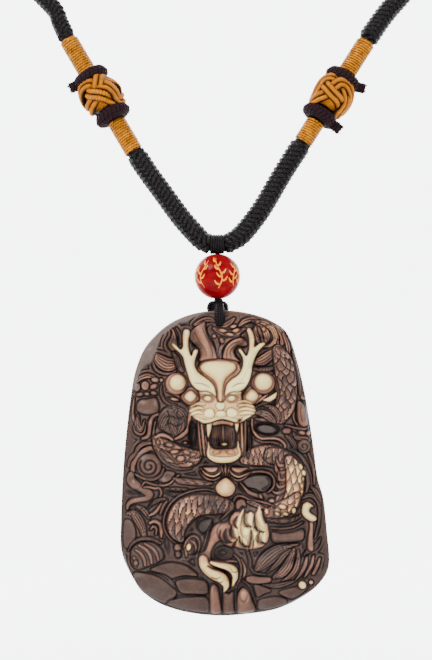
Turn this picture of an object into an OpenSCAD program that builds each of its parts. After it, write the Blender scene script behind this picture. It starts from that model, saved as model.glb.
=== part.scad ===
// Carved stone pendant: a dragon in relief on a flat stone, hung by a thin knotted cord
// and one bead from a whole loop of round plaited cord with bound sleeves and woven knots.
// The origin is on the nape, where the cord sits. +X is to the right of the front, -Y is the front, +Z is up.

/* [Stone] */
// Thickness of the stone under its carving
plate_t = 5; // [4:0.5:6]
// Height of the highest carving over the ground
relief_h = 3.6; // [2:0.2:4]
// Diameter of the hole for the hanging cord
hole_d = 2.6; // [2.6:0.1:3]
// Rounding of the stone's front edge
edge_drop = 0.8; // [0.2:0.1:1.2]
// Cells of the carved face across the stone
cells_u = 46; // [24:2:50]
// Cells of the carved face along the stone
cells_v = 66; // [36:2:70]

/* [Bead] */
// Diameter of the bead
bead_d = 10; // [9:0.5:10]
// Diameter of the bead's drilling
bead_bore_d = 1.9; // [1.8:0.1:2.4]

/* [Cords] */
// Diameter of the plaited cord
braid_d = 4.2; // [3.6:0.1:4.6]
// Diameter of the plaited cord where it is bound
bound_d = 3.2; // [2.8:0.1:3.3]
// Diameter of the plaited cord under the hanging cord's turns
pinched_d = 2.8; // [2.4:0.1:2.8]
// Diameter of the thin hanging cord in the bead
thin_d = 1.5; // [1.2:0.1:1.6]
// Thickness of the hanging cord's turns round the plaited cord
turn_d = 0.6; // [0.4:0.1:0.7]

/* [Fittings] */
// Outer diameter of the silk sleeves
sleeve_d = 4.4; // [4.2:0.1:4.8]
// Outer diameter of the plum collars
collar_d = 8.8; // [8.2:0.2:9.2]
// Diameter of the plum cord of the collars
collar_cord_d = 2.5; // [2:0.1:2.6]
// Greatest diameter of the woven knots
knot_d = 9.8; // [9:0.2:10.4]
// Length of the woven knots along the cord
knot_l = 7.6; // [6.8:0.2:7.6]
// Diameter of the doubled cord's band in the woven knots
knot_band_w = 2.3; // [1.8:0.1:2.6]
// Length of the whipping at the nape
join_l = 16; // [10:1:17]

/* [Hidden] */

// Heights in the stone's own frame: u to the right, v up from the stone's lowest edge
nape_v = 274;
front_y = -125;
face_y = front_y - plate_t / 2;
back_y = front_y + plate_t / 2;
hole_v = 66.2;
drop_u = -0.6;
hinge_v = 84.1;
bead_v = 76.8;
clear = 0.15;
tall = relief_h / 3.6;
braid_y = 2.7;

// Outline of the stone, from the lower left corner round by the bottom, the right, the top and the left
// columns: u, v
outline = [
    [-19, 7.2], [-16.5, 4.4], [-12.6, 2.1], [-7, 0.5], [0, -0.2], [7, 0.3], [13, 1.4], [18.5, 4],
    [22.6, 7.3], [24.6, 11.5], [24.1, 19], [23.3, 26.2], [22, 31], [20.9, 39], [19.2, 49.5], [17.3, 57.6],
    [15.3, 63.2], [12.4, 65.8], [8, 67.6], [2, 68.6], [-4.5, 68.2], [-9.6, 66.6],
    [-13.4, 64.1], [-16.9, 60.2], [-19, 55.2], [-20, 50], [-21, 42], [-21.8, 33], [-22.3, 22], [-22.1, 14]
];
corner_br = 8;
corner_tr = 16;
corner_tl = 22;
corner_bl = 30;

// Carving: each form is a chain of rounded swellings; columns: u, v, half-width, height over the ground
head_forms = [
    [[0, 55.4, 4.8, 2.3], [0.1, 52, 3.8, 2.6], [0.1, 48.8, 4.8, 2.9], [0.1, 46.6, 5.6, 3.1]],
    [[-6, 45.2, 1.9, 2.7], [-2.6, 44.8, 2, 3.2], [0.3, 45.4, 2.2, 3.4], [3.2, 45, 2, 3.2], [6.6, 45.6, 1.9, 2.7]],
    [[0.1, 47.4, 1.7, 3.6]],
    [[-7, 54.6, 1.5, 2.8], [-5.8, 52, 1.8, 3], [-2.6, 50.6, 1.6, 3]],
    [[7, 54.6, 1.5, 2.8], [5.8, 52, 1.8, 3], [2.9, 50.6, 1.6, 3]],
    [[-2.3, 36.6, 1.6, 2.7], [0.8, 35.6, 1.8, 3], [4, 36.6, 1.6, 2.7]],
    [[-3.8, 43.4, 1.3, 2.3], [-3.8, 37, 1.3, 2.1]],
    [[5.1, 43.4, 1.3, 2.3], [5.1, 37, 1.3, 2.1]]
];
antler_forms = [
    [[-3.5, 51.5, 1.6, 2.6], [-5.5, 53, 1.6, 2.6], [-6.8, 56.5, 1.5, 2.5], [-7.8, 61, 1.3, 2.3], [-7.1, 64.2, 1.1, 2]],
    [[-7.9, 58.6, 1, 2.3], [-10.6, 61.2, 0.8, 1.9]],
    [[-6.5, 57.3, 0.9, 2.3], [-5.4, 59.6, 0.9, 2]],
    [[1.5, 51.5, 1.6, 2.6], [4.6, 53.6, 1.6, 2.6], [6.4, 57.3, 1.5, 2.5], [7.3, 61.6, 1.3, 2.3], [6.3, 64.5, 1.1, 2]],
    [[7.3, 59.4, 1, 2.3], [9.8, 61.4, 0.8, 1.9]],
    [[6, 57.9, 0.9, 2.3], [4.4, 59.8, 0.9, 2]]
];
ear_forms = [
    [[-9.8, 52.3, 2.8, 2.5]],
    [[9.7, 52.6, 3.1, 2.6]],
    [[-6.6, 49.1, 1.8, 2.6]],
    [[7, 49.4, 2, 2.6]],
    [[9.6, 48.6, 1, 1.9], [12, 49.4, 1, 1.7]]
];
coil_forms = [
    [[13.2, 59, 2.4, 1.6], [15, 54.4, 2.6, 1.8], [15.5, 50, 2.6, 1.8], [14.3, 46, 2.6, 1.8], [11.2, 43.8, 2.4, 1.6]],
    [[-10.4, 43.6, 3.8, 2.1]],
    [[-14.8, 40, 2.2, 1.7], [-12.6, 36.8, 2.8, 1.9], [-9.4, 34.8, 2.8, 1.9], [-6, 35.4, 2.4, 1.7]],
    [[5.8, 35.6, 2.3, 1.6], [9.2, 36.8, 2.7, 1.9], [13, 36.2, 2.8, 2.1], [16, 33.5, 2.8, 2.3]],
    [[16, 33.5, 2.8, 2.3], [16.9, 30, 2.8, 2.4], [16, 26.4, 2.7, 2.3], [12.4, 23.6, 2.4, 2], [9, 22.6, 2.4, 2]],
    [[2, 24.6, 1.8, 1.5], [-2, 25.6, 2.4, 1.8], [-6, 25.2, 2.8, 2], [-9.2, 22.6, 2.8, 2], [-10, 19.4, 2.5, 1.8]]
];
limb_forms = [
    [[4.8, 20.4, 3.6, 2.3], [7.8, 18.9, 4, 2.6]],
    [[0.6, 19.6, 2, 1.9], [-1.9, 16.5, 2, 2], [-3.5, 13.2, 2, 2.3]],
    [[-4, 12.8, 1.8, 2.5], [-2.2, 10.4, 1.7, 2.7], [0, 8.6, 1.5, 2.6], [1.1, 6.6, 1.2, 2.2]],
    [[-0.8, 11.6, 1.1, 2.2], [1.8, 10.7, 1.2, 2.4], [3.3, 8.8, 1.1, 2.3], [3.1, 6.9, 0.9, 2]],
    [[19.2, 24.8, 1.6, 2.1], [19.2, 23, 1.4, 2.1], [20.7, 22.1, 1.2, 2.1]],
    [[20.3, 20.4, 1.2, 1.6], [20.5, 15, 1.2, 1.5]],
    [[-7, 16, 1.4, 1.9], [-7.2, 13.8, 1.1, 1.7]],
    [[1.2, 28.7, 2.6, 2.4]],
    [[-2.4, 32, 1.2, 1.6], [1, 33, 1.3, 1.9], [4, 32, 1.2, 1.6]]
];
cloud_forms = [
    [[-5, 65, 1.1, 1.3], [-3.5, 62, 1.4, 1.6], [-2.6, 58.5, 1.2, 1.5]],
    [[0.8, 58, 1.2, 1.5], [2, 61, 1.3, 1.5], [4.2, 62.4, 1.2, 1.3]],
    [[-15.4, 59.2, 1, 1.1], [-13.4, 57, 1.5, 1.4], [-11.4, 55.6, 1.3, 1.3]],
    [[8.6, 57.4, 1.3, 1.3], [12.4, 60.4, 1.3, 1.2]],
    [[8.6, 64, 1.4, 1.2], [11.6, 64, 1.6, 1.2]],
    [[-16.4, 51.8, 2.9, 1.4]],
    [[-16.2, 46.7, 2.6, 1.3]],
    [[-19.2, 44, 1, 0.9], [-17.6, 41.4, 1.2, 1]],
    [[-15.4, 43, 1.2, 1.1], [-16, 39.8, 1.1, 0.9]],
    [[-16.2, 33.6, 3.6, 1.4]],
    [[-19, 29.4, 1.2, 1.1], [-15, 28.6, 1.5, 1.2], [-18.6, 25.4, 1.5, 1.1]],
    [[-12, 29.6, 1.5, 1.2], [-3, 29.6, 1.3, 1.1]],
    [[-19.6, 21.6, 1.5, 1.1], [-17.4, 17.6, 1.5, 1.1]],
    [[-17, 12.8, 4, 1.9]],
    [[18.6, 46, 1.3, 1.3], [19, 39.6, 1.2, 1.2]],
    [[10.4, 41.8, 2.9, 1]],
    [[9, 29.7, 3, 1]],
    [[12.4, 17.8, 1.5, 1.2], [18.2, 17.9, 1.5, 1.2]],
    [[9.4, 11.4, 1.8, 1.4], [13, 13.2, 2, 1.6], [17.4, 14.6, 1.6, 1.4]],
    [[14.6, 9.4, 1.8, 1.3], [18.6, 11.4, 1.6, 1.4], [21.4, 12.4, 1.3, 1.2]],
    [[18.6, 6.9, 1.1, 1.6]]
];
plate_forms = [
    [[-14.6, 7.6, 4.4, 0.9], [-9.6, 9.4, 3, 0.9]],
    [[-7.6, 4, 4.4, 0.9], [-5.6, 7.4, 3, 0.9]],
    [[-1.3, 1.2, 1.7, 1.1], [-1.5, 5, 1.5, 1.2]],
    [[1.9, 1.2, 1.6, 1], [2, 4.6, 1.5, 1]],
    [[5.5, 1.4, 1.9, 1.3], [5.3, 4.6, 1.6, 1.5]],
    [[11, 3.4, 3.4, 0.9], [16.4, 5, 3, 0.9]]
];
forms = concat(head_forms, antler_forms, ear_forms, coil_forms, limb_forms, cloud_forms, plate_forms);
// Cut-back hollows; columns: u, v, half-width, depth
hollow_forms = [
    [[0.6, 42, 2.5, 2.6], [0.6, 38.8, 2.5, 2.4]],
    [[-6.3, 42, 1.2, 1.2], [-6.1, 38, 1.2, 1]],
    [[6.5, 42, 1, 1], [6.4, 38, 1, 0.9]],
    [[-4.6, 21.4, 1.4, 1], [-3.2, 18.6, 1.4, 1]]
];

// Route of the plaited cord, from the nape down the left leg, along the V and up the right leg
// The hidden stretches; columns: x, y, z
route_hidden_left = [
    [-0.2, 2.7, 0], [-9, 2.7, 0], [-18, 1.5, 0.5], [-34, -4, 1], [-47, -14, 0.5], [-56.5, -27, -3],
    [-62, -40, -11], [-65, -55, -25], [-65, -69, -43], [-63, -82, -64], [-59.5, -93, -85], [-55, -102, -103],
    [-49.5, -109, -118], [-44.5, -113.5, -127.5]
];
route_hidden_right = [
    [44.5, -113.5, -128.5], [50, -109, -118.5], [55.5, -102, -103], [60, -93, -85], [63, -82, -64], [65, -69, -43],
    [65, -55, -25], [62, -40, -11], [56.5, -27, -3], [47, -14, 0.5], [34, -4, 1], [18, 1.5, 0.5], [9, 2.7, 0],
    [0.2, 2.7, 0]
];
// The stretch that shows, in the stone's frame; columns: u, v, lean back from the front
seen_left = [[-39.4, 139.3, 9.2], [-37.5, 136.2, 8.4]];
leg_left = [[-33.7, 131, 7], [-19.5, 105.6, 3]];
seen_left_low = [[-16.2, 100.2, 2.2], [-13.5, 96.5, 1.6], [-11, 93, 1.1], [-8.6, 89.8, 0.6], [-5.6, 86.4, 0.2]];
seen_mid = [[-4.1, 84.9, 0], [-3, hinge_v, 0], [1.8, hinge_v, 0], [2.9, 84.9, 0]];
seen_right_low = [[5, 86.3, 0.2], [8.4, 90.5, 0.6], [10.7, 94, 1.1], [13, 98, 1.6], [15.4, 102, 2.2]];
leg_right = [[19, 107.6, 3], [33.7, 130.2, 7]];
seen_right = [[37.1, 135.8, 8.4], [39.8, 138.9, 9.2]];

// Where the fittings sit along each leg's straight stretch, from its lower end
// columns: lower sleeve's end, lower collar, knot, upper collar, upper sleeve's start
fit_left = [8.6, 10.15, 15.3, 20.45, 21.9];
fit_right = [6.1, 7.65, 12.8, 17.95, 19.4];
// Cut ends of the collars' cord; columns: turn round the leg, tilt, length
tail_left_upper = [15, -5, 2.2];
tail_right_lower = [340, 10, 2.6];
tail_right_upper = [350, -20, 2.4];
no_tail = [0, 0, 0];

function place(p) = [p[0], front_y + p[2], p[1] - nape_v];
function mix(a, b, t) = a + (b - a) * t;
function unit(v) = v / norm(v);
function bump(d, w) = d < w ? pow(1 - pow(d / w, 2), 2) : 0;
function wrapped(v, n) = (v % n + n) % n;

// A smooth closed curve through the outline's points
function curve(a, b, c, d, t) = 0.5 * (2 * b + (c - a) * t + (2 * a - 5 * b + 4 * c - d) * t * t
    + (3 * b - a - 3 * c + d) * t * t * t);
function rim(k) = let (n = len(outline), i = floor(k), t = k - i)
    curve(outline[wrapped(i - 1, n)], outline[wrapped(i, n)], outline[wrapped(i + 1, n)], outline[wrapped(i + 2, n)], t);

// A point of the face from its shares across and along, s and t, stretched between the four sides
function face_point(s, t) =
    let (low = rim(mix(0, corner_br, s)), high = rim(mix(corner_tl, corner_tr, s)),
         left = rim(mix(corner_bl, corner_tl, t)), right = rim(mix(corner_br, corner_tr, t)))
    (1 - t) * low + t * high + (1 - s) * left + s * right
    - (1 - s) * (1 - t) * rim(0) - s * (1 - t) * rim(corner_br) - (1 - s) * t * rim(corner_tl) - s * t * rim(corner_tr);

// The height that one stretch of a form gives at a point
function swell(p, a, b) =
    let (along = [b[0] - a[0], b[1] - a[1]], span = max(norm(along), 0.001),
         k = min(1, max(0, (([p[0] - a[0], p[1] - a[1]]) * along) / (span * span))),
         c = mix(a, b, k))
    c[3] * bump(norm([p[0] - c[0], p[1] - c[1]]), c[2] * 1.45);
function form_height(p, form) = max([for (i = [0:max(0, len(form) - 2)]) swell(p, form[i], form[min(i + 1, len(form) - 1)])]);
function carving(p) = max([for (form = forms) form_height(p, form)])
    - max([for (form = hollow_forms) form_height(p, form)]);
function face_height(s, t) =
    let (p = face_point(s, t), rim_near = min(min(s, 1 - s) * cells_u, min(t, 1 - t) * cells_v),
         inside = min(1, rim_near / 2.5), ring = norm(p - [0, hole_v]))
    tall * carving(p) * inside * min(1, max(0, (ring - 2) / 1.5)) - edge_drop * bump(rim_near, 1.5);

// Corners of the face's cells, row by row from the bottom, then two rims behind them
row = cells_u + 1;
face_points = [for (j = [0:cells_v], i = [0:cells_u])
    let (s = i / cells_u, t = j / cells_v, p = face_point(s, t))
    [p[0], face_y - face_height(s, t), p[1] - nape_v]];
border = concat(
    [for (i = [0:cells_u - 1]) i],
    [for (j = [0:cells_v - 1]) j * row + cells_u],
    [for (i = [cells_u:-1:1]) cells_v * row + i],
    [for (j = [cells_v:-1:1]) j * row]
);
side = len(border);
first_rim = len(face_points);
middle = [1, 0, 34 - nape_v];
function rim_ring(y, keep) = [for (k = border)
    let (p = face_points[k]) [mix(middle[0], p[0], keep), y, mix(middle[2], p[2], keep)]];
stone_points = concat(face_points, rim_ring(back_y - 0.7, 1), rim_ring(back_y, 0.972));
face_cells = [for (j = [0:cells_v - 1], i = [0:cells_u - 1], half = [0, 1])
    let (k = j * row + i)
    half == 0 ? [k, k + row + 1, k + 1] : [k, k + row, k + row + 1]];
function skirt(from_ring, to_ring) = [for (k = [0:side - 1], half = [0, 1])
    let (m = (k + 1) % side)
    half == 0 ? [from_ring[k], from_ring[m], to_ring[m]] : [from_ring[k], to_ring[m], to_ring[k]]];
ring_a = [for (k = [0:side - 1]) first_rim + k];
ring_b = [for (k = [0:side - 1]) first_rim + side + k];
back_face = [[for (k = [0:side - 1]) ring_b[k]]];

module stone_pendant()
    color("#6b554f")
    difference() {
        polyhedron(stone_points, concat(face_cells, skirt(border, ring_a), skirt(ring_a, ring_b), back_face));
        translate([0, front_y, hole_v - nape_v])
            rotate([90, 0, 0])
                cylinder(d = hole_d, h = 3 * plate_t, center = true, $fn = 40);
    }

// The loop goes through the hole and over the stone's top edge, and its small knot closes it above
loop_w = 2;
loop_t = 0.85;
loop_in_y = plate_t / 2 + 0.3;
loop_low_v = hole_v + 0.68;
loop_high_v = 68.95;
knot_u = -0.5;
knot_v = 69.9;

module loop_outline(grow) {
    low = loop_low_v - grow;
    high = loop_high_v + grow;
    half = loop_in_y + grow;
    r = 0.3 + grow;
    for (y = [-half + r, half - r], z = [low + r, high - r])
        translate([y, z]) circle(r = r, $fn = 24);
    translate([-half + r, low]) square([2 * (half - r), high - low]);
    translate([-half, low + r]) square([2 * half, high - low - 2 * r]);
}

module stone_loop()
    color("#1a1618")
    translate([0, front_y, -nape_v]) {
        translate([-loop_w / 2 - 0.1, 0, 0])
            rotate([90, 0, 90])
                linear_extrude(loop_w)
                    difference() {
                        loop_outline(loop_t);
                        loop_outline(0);
                    }
        translate([knot_u, 0, knot_v + 0.65]) sphere(r = 1.25, $fn = 32);
        for (lobe = [-1.4, 1.4])
            translate([knot_u + lobe, 0, knot_v]) sphere(r = 1, $fn = 32);
        translate([knot_u, 0, knot_v]) rotate([0, 90, 0]) cylinder(r = 0.9, h = 2.8, center = true, $fn = 32);
    }

module bead()
    color("#b3261c")
    translate([drop_u, front_y, bead_v - nape_v])
        difference() {
            sphere(d = bead_d, $fn = 64);
            cylinder(d = bead_bore_d, h = bead_d + 2, center = true, $fn = 32);
        }

// Straight stretch between the knot under the bead and the turns over it
module bead_cord()
    color("#1a1618")
    translate([drop_u, front_y, 71.9 - nape_v])
        cylinder(d = thin_d, h = hinge_v - pinched_d / 2 - clear - turn_d - 0.05 - 71.9, $fn = 32);

wrap_turns = 7;
wrap_pitch = 0.57;
module hanger_wrap()
    color("#1a1618")
    translate([drop_u, front_y, hinge_v - nape_v])
        rotate([0, 90, 0])
            rotate_extrude($fn = 48) {
                bore = pinched_d / 2 + clear;
                for (i = [0:wrap_turns - 1])
                    translate([bore + turn_d / 2, (i - (wrap_turns - 1) / 2) * wrap_pitch])
                        circle(d = turn_d, $fn = 16);
                translate([bore, -(wrap_turns - 1) / 2 * wrap_pitch])
                    square([turn_d / 2, (wrap_turns - 1) * wrap_pitch]);
            }

// Points between the hidden route's own points, so that the cord bends smoothly
function halfway(p) = [for (i = [0:len(p) - 1], k = [0, 1])
    if (k == 0 || i < len(p) - 1)
    k == 0 ? p[i] : curve(p[max(i - 1, 0)], p[i], p[i + 1], p[min(i + 2, len(p) - 1)], 0.5)];
function with_d(p, d) = concat(p, [d]);
function on_leg(leg, w) = let (a = place(leg[0]), b = place(leg[1])) a + unit(b - a) * w;
function leg_up(leg) = leg[0][1] < leg[1][1] ? leg : [leg[1], leg[0]];
function leg_length(leg) = norm(place(leg[1]) - place(leg[0]));
// The bound stretch of a leg, thinner than the rest, from its lower end to its upper end
function bound(leg) = let (up = leg_up(leg), l = leg_length(leg))
    [with_d(on_leg(up, -0.8), braid_d), with_d(on_leg(up, -0.2), bound_d), with_d(on_leg(up, l / 2), bound_d),
     with_d(on_leg(up, l + 0.2), bound_d), with_d(on_leg(up, l + 0.8), braid_d)];
function flip(list) = [for (i = [len(list) - 1:-1:0]) list[i]];
function plain(list) = [for (p = list) with_d(place(p), braid_d)];
mid_d = [braid_d - 0.7, pinched_d, pinched_d, braid_d - 0.7];
braid_route = concat(
    [for (p = halfway(route_hidden_left)) with_d(p, braid_d)],
    plain(seen_left), flip(bound(leg_left)), plain(seen_left_low),
    [for (i = [0:3]) with_d(place(seen_mid[i]), mid_d[i])],
    plain(seen_right_low), bound(leg_right), plain(seen_right),
    [for (p = halfway(route_hidden_right)) with_d(p, braid_d)]
);

// A round tube through the route's points, capped at both ends
loop_normal = unit([0, 0.835, -0.55]);
module tube(route, sides) {
    n = len(route);
    spot = [for (p = route) [p[0], p[1], p[2]]];
    points = [for (i = [0:n - 1])
        let (ahead = unit(spot[min(i + 1, n - 1)] - spot[max(i - 1, 0)]),
             a = unit(cross(ahead, loop_normal)), b = cross(ahead, a))
        for (k = [0:sides - 1]) spot[i] + route[i][3] / 2 * (cos(360 * k / sides) * a + sin(360 * k / sides) * b)];
    walls = [for (i = [0:n - 2], k = [0:sides - 1], half = [0, 1])
        let (m = (k + 1) % sides, p = i * sides, q = (i + 1) * sides)
        half == 0 ? [p + k, q + m, p + m] : [p + k, q + k, q + m]];
    start = [for (k = [0:sides - 1]) k];
    end = [for (k = [sides - 1:-1:0]) (n - 1) * sides + k];
    polyhedron(points, concat(walls, [start], [end]));
}

module braid() color("#171416") tube(braid_route, 10);

// Stands a piece's own Z axis on a leg at a distance from the leg's lower end
module stand_on(leg, w) {
    up = leg_up(leg);
    axis = unit(place(up[1]) - place(up[0]));
    translate(on_leg(up, w))
        rotate([0, acos(axis[2]), atan2(axis[1], axis[0])])
            children();
}

module sleeve(from_w, to_w)
    color("#c88a2b")
    translate([0, 0, from_w])
        rotate_extrude($fn = 48)
            difference() {
                union() {
                    translate([0, 0.2]) square([sleeve_d / 2, to_w - from_w - 0.4]);
                    square([sleeve_d / 2 - 0.2, to_w - from_w]);
                    for (h = [0.2, to_w - from_w - 0.2])
                        translate([sleeve_d / 2 - 0.2, h]) circle(r = 0.2, $fn = 16);
                }
                translate([-1, -1]) square([bound_d / 2 + clear + 1, to_w - from_w + 2]);
            }

module leg_sleeve(leg, from_w, to_w) stand_on(leg, 0) sleeve(from_w, to_w);

// One turn of plum cord round the bound stretch, with its cut end beside it
module collar(tail) {
    middle_r = (collar_d - collar_cord_d) / 2;
    color("#352028") {
        rotate_extrude($fn = 48)
            translate([middle_r, 0]) circle(d = collar_cord_d, $fn = 24);
        if (tail[2] > 0)
            rotate([0, 0, tail[0]])
                translate([middle_r, 0, 0])
                    rotate([0, 90 + tail[1], 0])
                        cylinder(d = collar_cord_d * 0.6, h = collar_cord_d / 2 + tail[2], $fn = 24);
    }
}

// Woven knot: the outside of a band that winds three times round and touches each edge four times,
// passing over and under itself in turn
winds = 3;
bights = 4;
knot_cells_a = 56;
knot_cells_z = 16;
band_t = 1.2;
knot_wave = 0.45;
knot_core_r = sleeve_d / 2 + 0.9;
knot_mid_r = knot_d / 2 - band_t / 2 - knot_wave;
knot_reach = (knot_l - knot_band_w) / 2;
function band_z(t) = knot_reach * cos(bights * t);
function band_r(t) = knot_mid_r + knot_wave * sin(2 * bights * t);
function band_slope(t) = -knot_reach * bights * sin(bights * t) / (winds * knot_mid_r);
function knot_skin(a, z) = max([for (k = [0:winds - 1])
    let (t = (a + 360 * k) / winds, wide = knot_band_w / 2 * sqrt(1 + pow(band_slope(t), 2)),
         d = abs(z - band_z(t)) / wide)
    d < 1 ? band_r(t) + band_t / 2 * sqrt(1 - d * d) : 0]);
function knot_r(a, z) = max(knot_skin(a, z), mix(knot_core_r, knot_core_r - 1.2, pow(2 * abs(z) / knot_l, 2)));

module woven_knot() {
    na = knot_cells_a;
    nz = knot_cells_z;
    inner = bound_d / 2 + clear;
    outer_points = [for (j = [0:nz], i = [0:na - 1])
        let (a = 360 * i / na, z = knot_l * (j / nz - 0.5), r = knot_r(a, z)) [r * cos(a), r * sin(a), z]];
    inner_points = [for (j = [0, 1], i = [0:na - 1])
        let (a = 360 * i / na) [inner * cos(a), inner * sin(a), knot_l * (j - 0.5)]];
    low = (nz + 1) * na;
    high = low + na;
    last = nz * na;
    function wall(p, q) = [for (i = [0:na - 1], half = [0, 1])
        let (m = (i + 1) % na)
        half == 0 ? [p + i, q + m, p + m] : [p + i, q + i, q + m]];
    skin = [for (j = [0:nz - 1]) each wall(j * na, (j + 1) * na)];
    color("#cc8c35")
        polyhedron(concat(outer_points, inner_points), concat(skin, wall(last, high), wall(high, low), wall(low, 0)));
}

module back_join()
    color("#171416")
    translate([-join_l / 2, braid_y, 0])
        rotate([0, 90, 0])
            difference() {
                cylinder(r = braid_y, h = join_l, $fn = 48);
                translate([0, 0, -1]) cylinder(d = braid_d + 2 * clear, h = join_l + 2, $fn = 48);
            }

length_left = leg_length(leg_left);
length_right = leg_length(leg_right);

stone_pendant();
stone_loop();
bead();
bead_cord();
hanger_wrap();
braid();
leg_sleeve(leg_left, 0, fit_left[0]);  // wrap_left_lower
leg_sleeve(leg_left, fit_left[4], length_left);  // wrap_left_upper
leg_sleeve(leg_right, 0, fit_right[0]);  // wrap_right_lower
leg_sleeve(leg_right, fit_right[4], length_right);  // wrap_right_upper
stand_on(leg_left, fit_left[1]) collar(no_tail);  // collar_left_lower
stand_on(leg_left, fit_left[3]) collar(tail_left_upper);  // collar_left_upper
stand_on(leg_right, fit_right[1]) collar(tail_right_lower);  // collar_right_lower
stand_on(leg_right, fit_right[3]) collar(tail_right_upper);  // collar_right_upper
stand_on(leg_left, fit_left[2]) woven_knot();  // knot_left
stand_on(leg_right, fit_right[2]) woven_knot();  // knot_right
back_join();
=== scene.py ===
# Carved stone pendant on a plaited cord: the finished look of each piece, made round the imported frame
import math

import bmesh
import bpy
import numpy as np
from mathutils import Matrix, Vector


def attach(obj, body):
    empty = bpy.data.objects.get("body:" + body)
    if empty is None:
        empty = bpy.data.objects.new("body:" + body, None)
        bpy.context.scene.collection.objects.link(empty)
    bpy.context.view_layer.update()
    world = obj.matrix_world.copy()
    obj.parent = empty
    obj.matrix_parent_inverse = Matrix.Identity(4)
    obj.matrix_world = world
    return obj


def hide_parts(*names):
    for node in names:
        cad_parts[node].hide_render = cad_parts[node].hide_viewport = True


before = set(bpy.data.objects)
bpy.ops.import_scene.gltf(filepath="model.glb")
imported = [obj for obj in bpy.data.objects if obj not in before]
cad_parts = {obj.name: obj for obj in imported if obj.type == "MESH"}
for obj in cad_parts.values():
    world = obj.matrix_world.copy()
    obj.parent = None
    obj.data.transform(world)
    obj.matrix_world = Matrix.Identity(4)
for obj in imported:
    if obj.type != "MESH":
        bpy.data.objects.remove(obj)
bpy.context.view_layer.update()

mm = 0.001
joinWithin = 2e-7  # corners closer than this, in metres, become one

# Where the stone's own measures (u to the right, v up from its lowest edge, in mm) stand in the frame
place = {"napeV": 274.0, "frontY": -125.0, "dropU": -0.6, "hingeV": 84.1, "beadV": 76.75, "holeV": 66.2}
view = {"aimU": -0.91, "aimV": 64.5, "distance": 0.417, "lens": 100.0, "sensor": 36.0,
        "near": 0.01, "far": 30.0}


def inFrame(u, v, lean=0.0):
    return (u, place["frontY"] + lean, v - place["napeV"])


# Shader sockets that Python arithmetic can be written on
class Wire:
    def __init__(self, finish, socket):
        self.finish = finish
        self.socket = socket

    def math(self, operation, first, second):
        return self.finish.node("ShaderNodeMath", {"operation": operation}, {0: first, 1: second})

    def __add__(self, other):
        return self.math("ADD", self, other)

    def __radd__(self, other):
        return self.math("ADD", other, self)

    def __sub__(self, other):
        return self.math("SUBTRACT", self, other)

    def __rsub__(self, other):
        return self.math("SUBTRACT", other, self)

    def __mul__(self, other):
        return self.math("MULTIPLY", self, other)

    def __rmul__(self, other):
        return self.math("MULTIPLY", other, self)

    def __truediv__(self, other):
        return self.math("DIVIDE", self, other)

    def sine(self):
        return self.math("SINE", self, 0.0)

    def between(self, low, high):
        return self.finish.node("ShaderNodeMapRange", {"clamp": True}, {0: self, 1: low, 2: high})


# A material with its own node maker
class Finish:
    def __init__(self, name, **fixed):
        self.material = bpy.data.materials.new(name)
        self.material.use_nodes = True
        self.tree = self.material.node_tree
        self.shader = self.tree.nodes["Principled BSDF"]
        for socket, value in fixed.items():
            self.shader.inputs[socket].default_value = value

    def node(self, kind, settings=None, inputs=None, out=0):
        made = self.tree.nodes.new(kind)
        for key, value in (settings or {}).items():
            if key == "stops":
                self.ramp(made.color_ramp, value)
            else:
                setattr(made, key, value)
        for key, value in (inputs or {}).items():
            self.feed(made.inputs[key], value)
        return Wire(self, made.outputs[out])

    def feed(self, socket, value):
        if isinstance(value, Wire):
            self.tree.links.new(value.socket, socket)
        else:
            socket.default_value = value

    def ramp(self, ramp, stops):
        while len(ramp.elements) < len(stops):
            ramp.elements.new(0.5)
        for element, (at, colour) in zip(ramp.elements, stops):
            element.position = at
            element.color = colour

    def attribute(self, name):
        return self.node("ShaderNodeAttribute", {"attribute_name": name}, out=2)

    def objectPoint(self, x=1.0, y=1.0, z=1.0):
        where = self.node("ShaderNodeTexCoord", out=3)
        return self.node("ShaderNodeMapping", {}, {0: where, 3: (x, y, z)})

    def alongPiece(self):
        split = self.node("ShaderNodeSeparateXYZ", {}, {0: self.node("ShaderNodeUVMap", {"uv_map": "run"})})
        return split, Wire(self, split.socket.node.outputs[1])

    def noise(self, scale, detail=3.0, rough=0.55, where=None):
        values = {"Scale": scale, "Detail": detail, "Roughness": rough}
        values["Vector"] = where or self.objectPoint()
        return self.node("ShaderNodeTexNoise", {}, values)

    def tint(self, share, low, high):
        made = self.tree.nodes.new("ShaderNodeMix")
        made.data_type = "RGBA"
        self.feed(made.inputs[0], share)
        self.feed(made.inputs[6], low)
        self.feed(made.inputs[7], high)
        return Wire(self, made.outputs[2])

    def dress(self, colour=None, rough=None, height=None, depth=0.0001, strength=1.0):
        if colour is not None:
            self.feed(self.shader.inputs["Base Color"], colour)
        if rough is not None:
            self.feed(self.shader.inputs["Roughness"], rough)
        if height is not None:
            values = {"Strength": strength, "Distance": depth, "Height": height}
            self.feed(self.shader.inputs["Normal"], self.node("ShaderNodeBump", {}, values))
        return self.material


# A colour given as a screen shows it, in shares of 255
def shade(red, green, blue):
    def plain(part):
        part /= 255
        return part / 12.92 if part <= 0.04045 else ((part + 0.055) / 1.055) ** 2.4
    return (plain(red), plain(green), plain(blue), 1.0)


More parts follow.
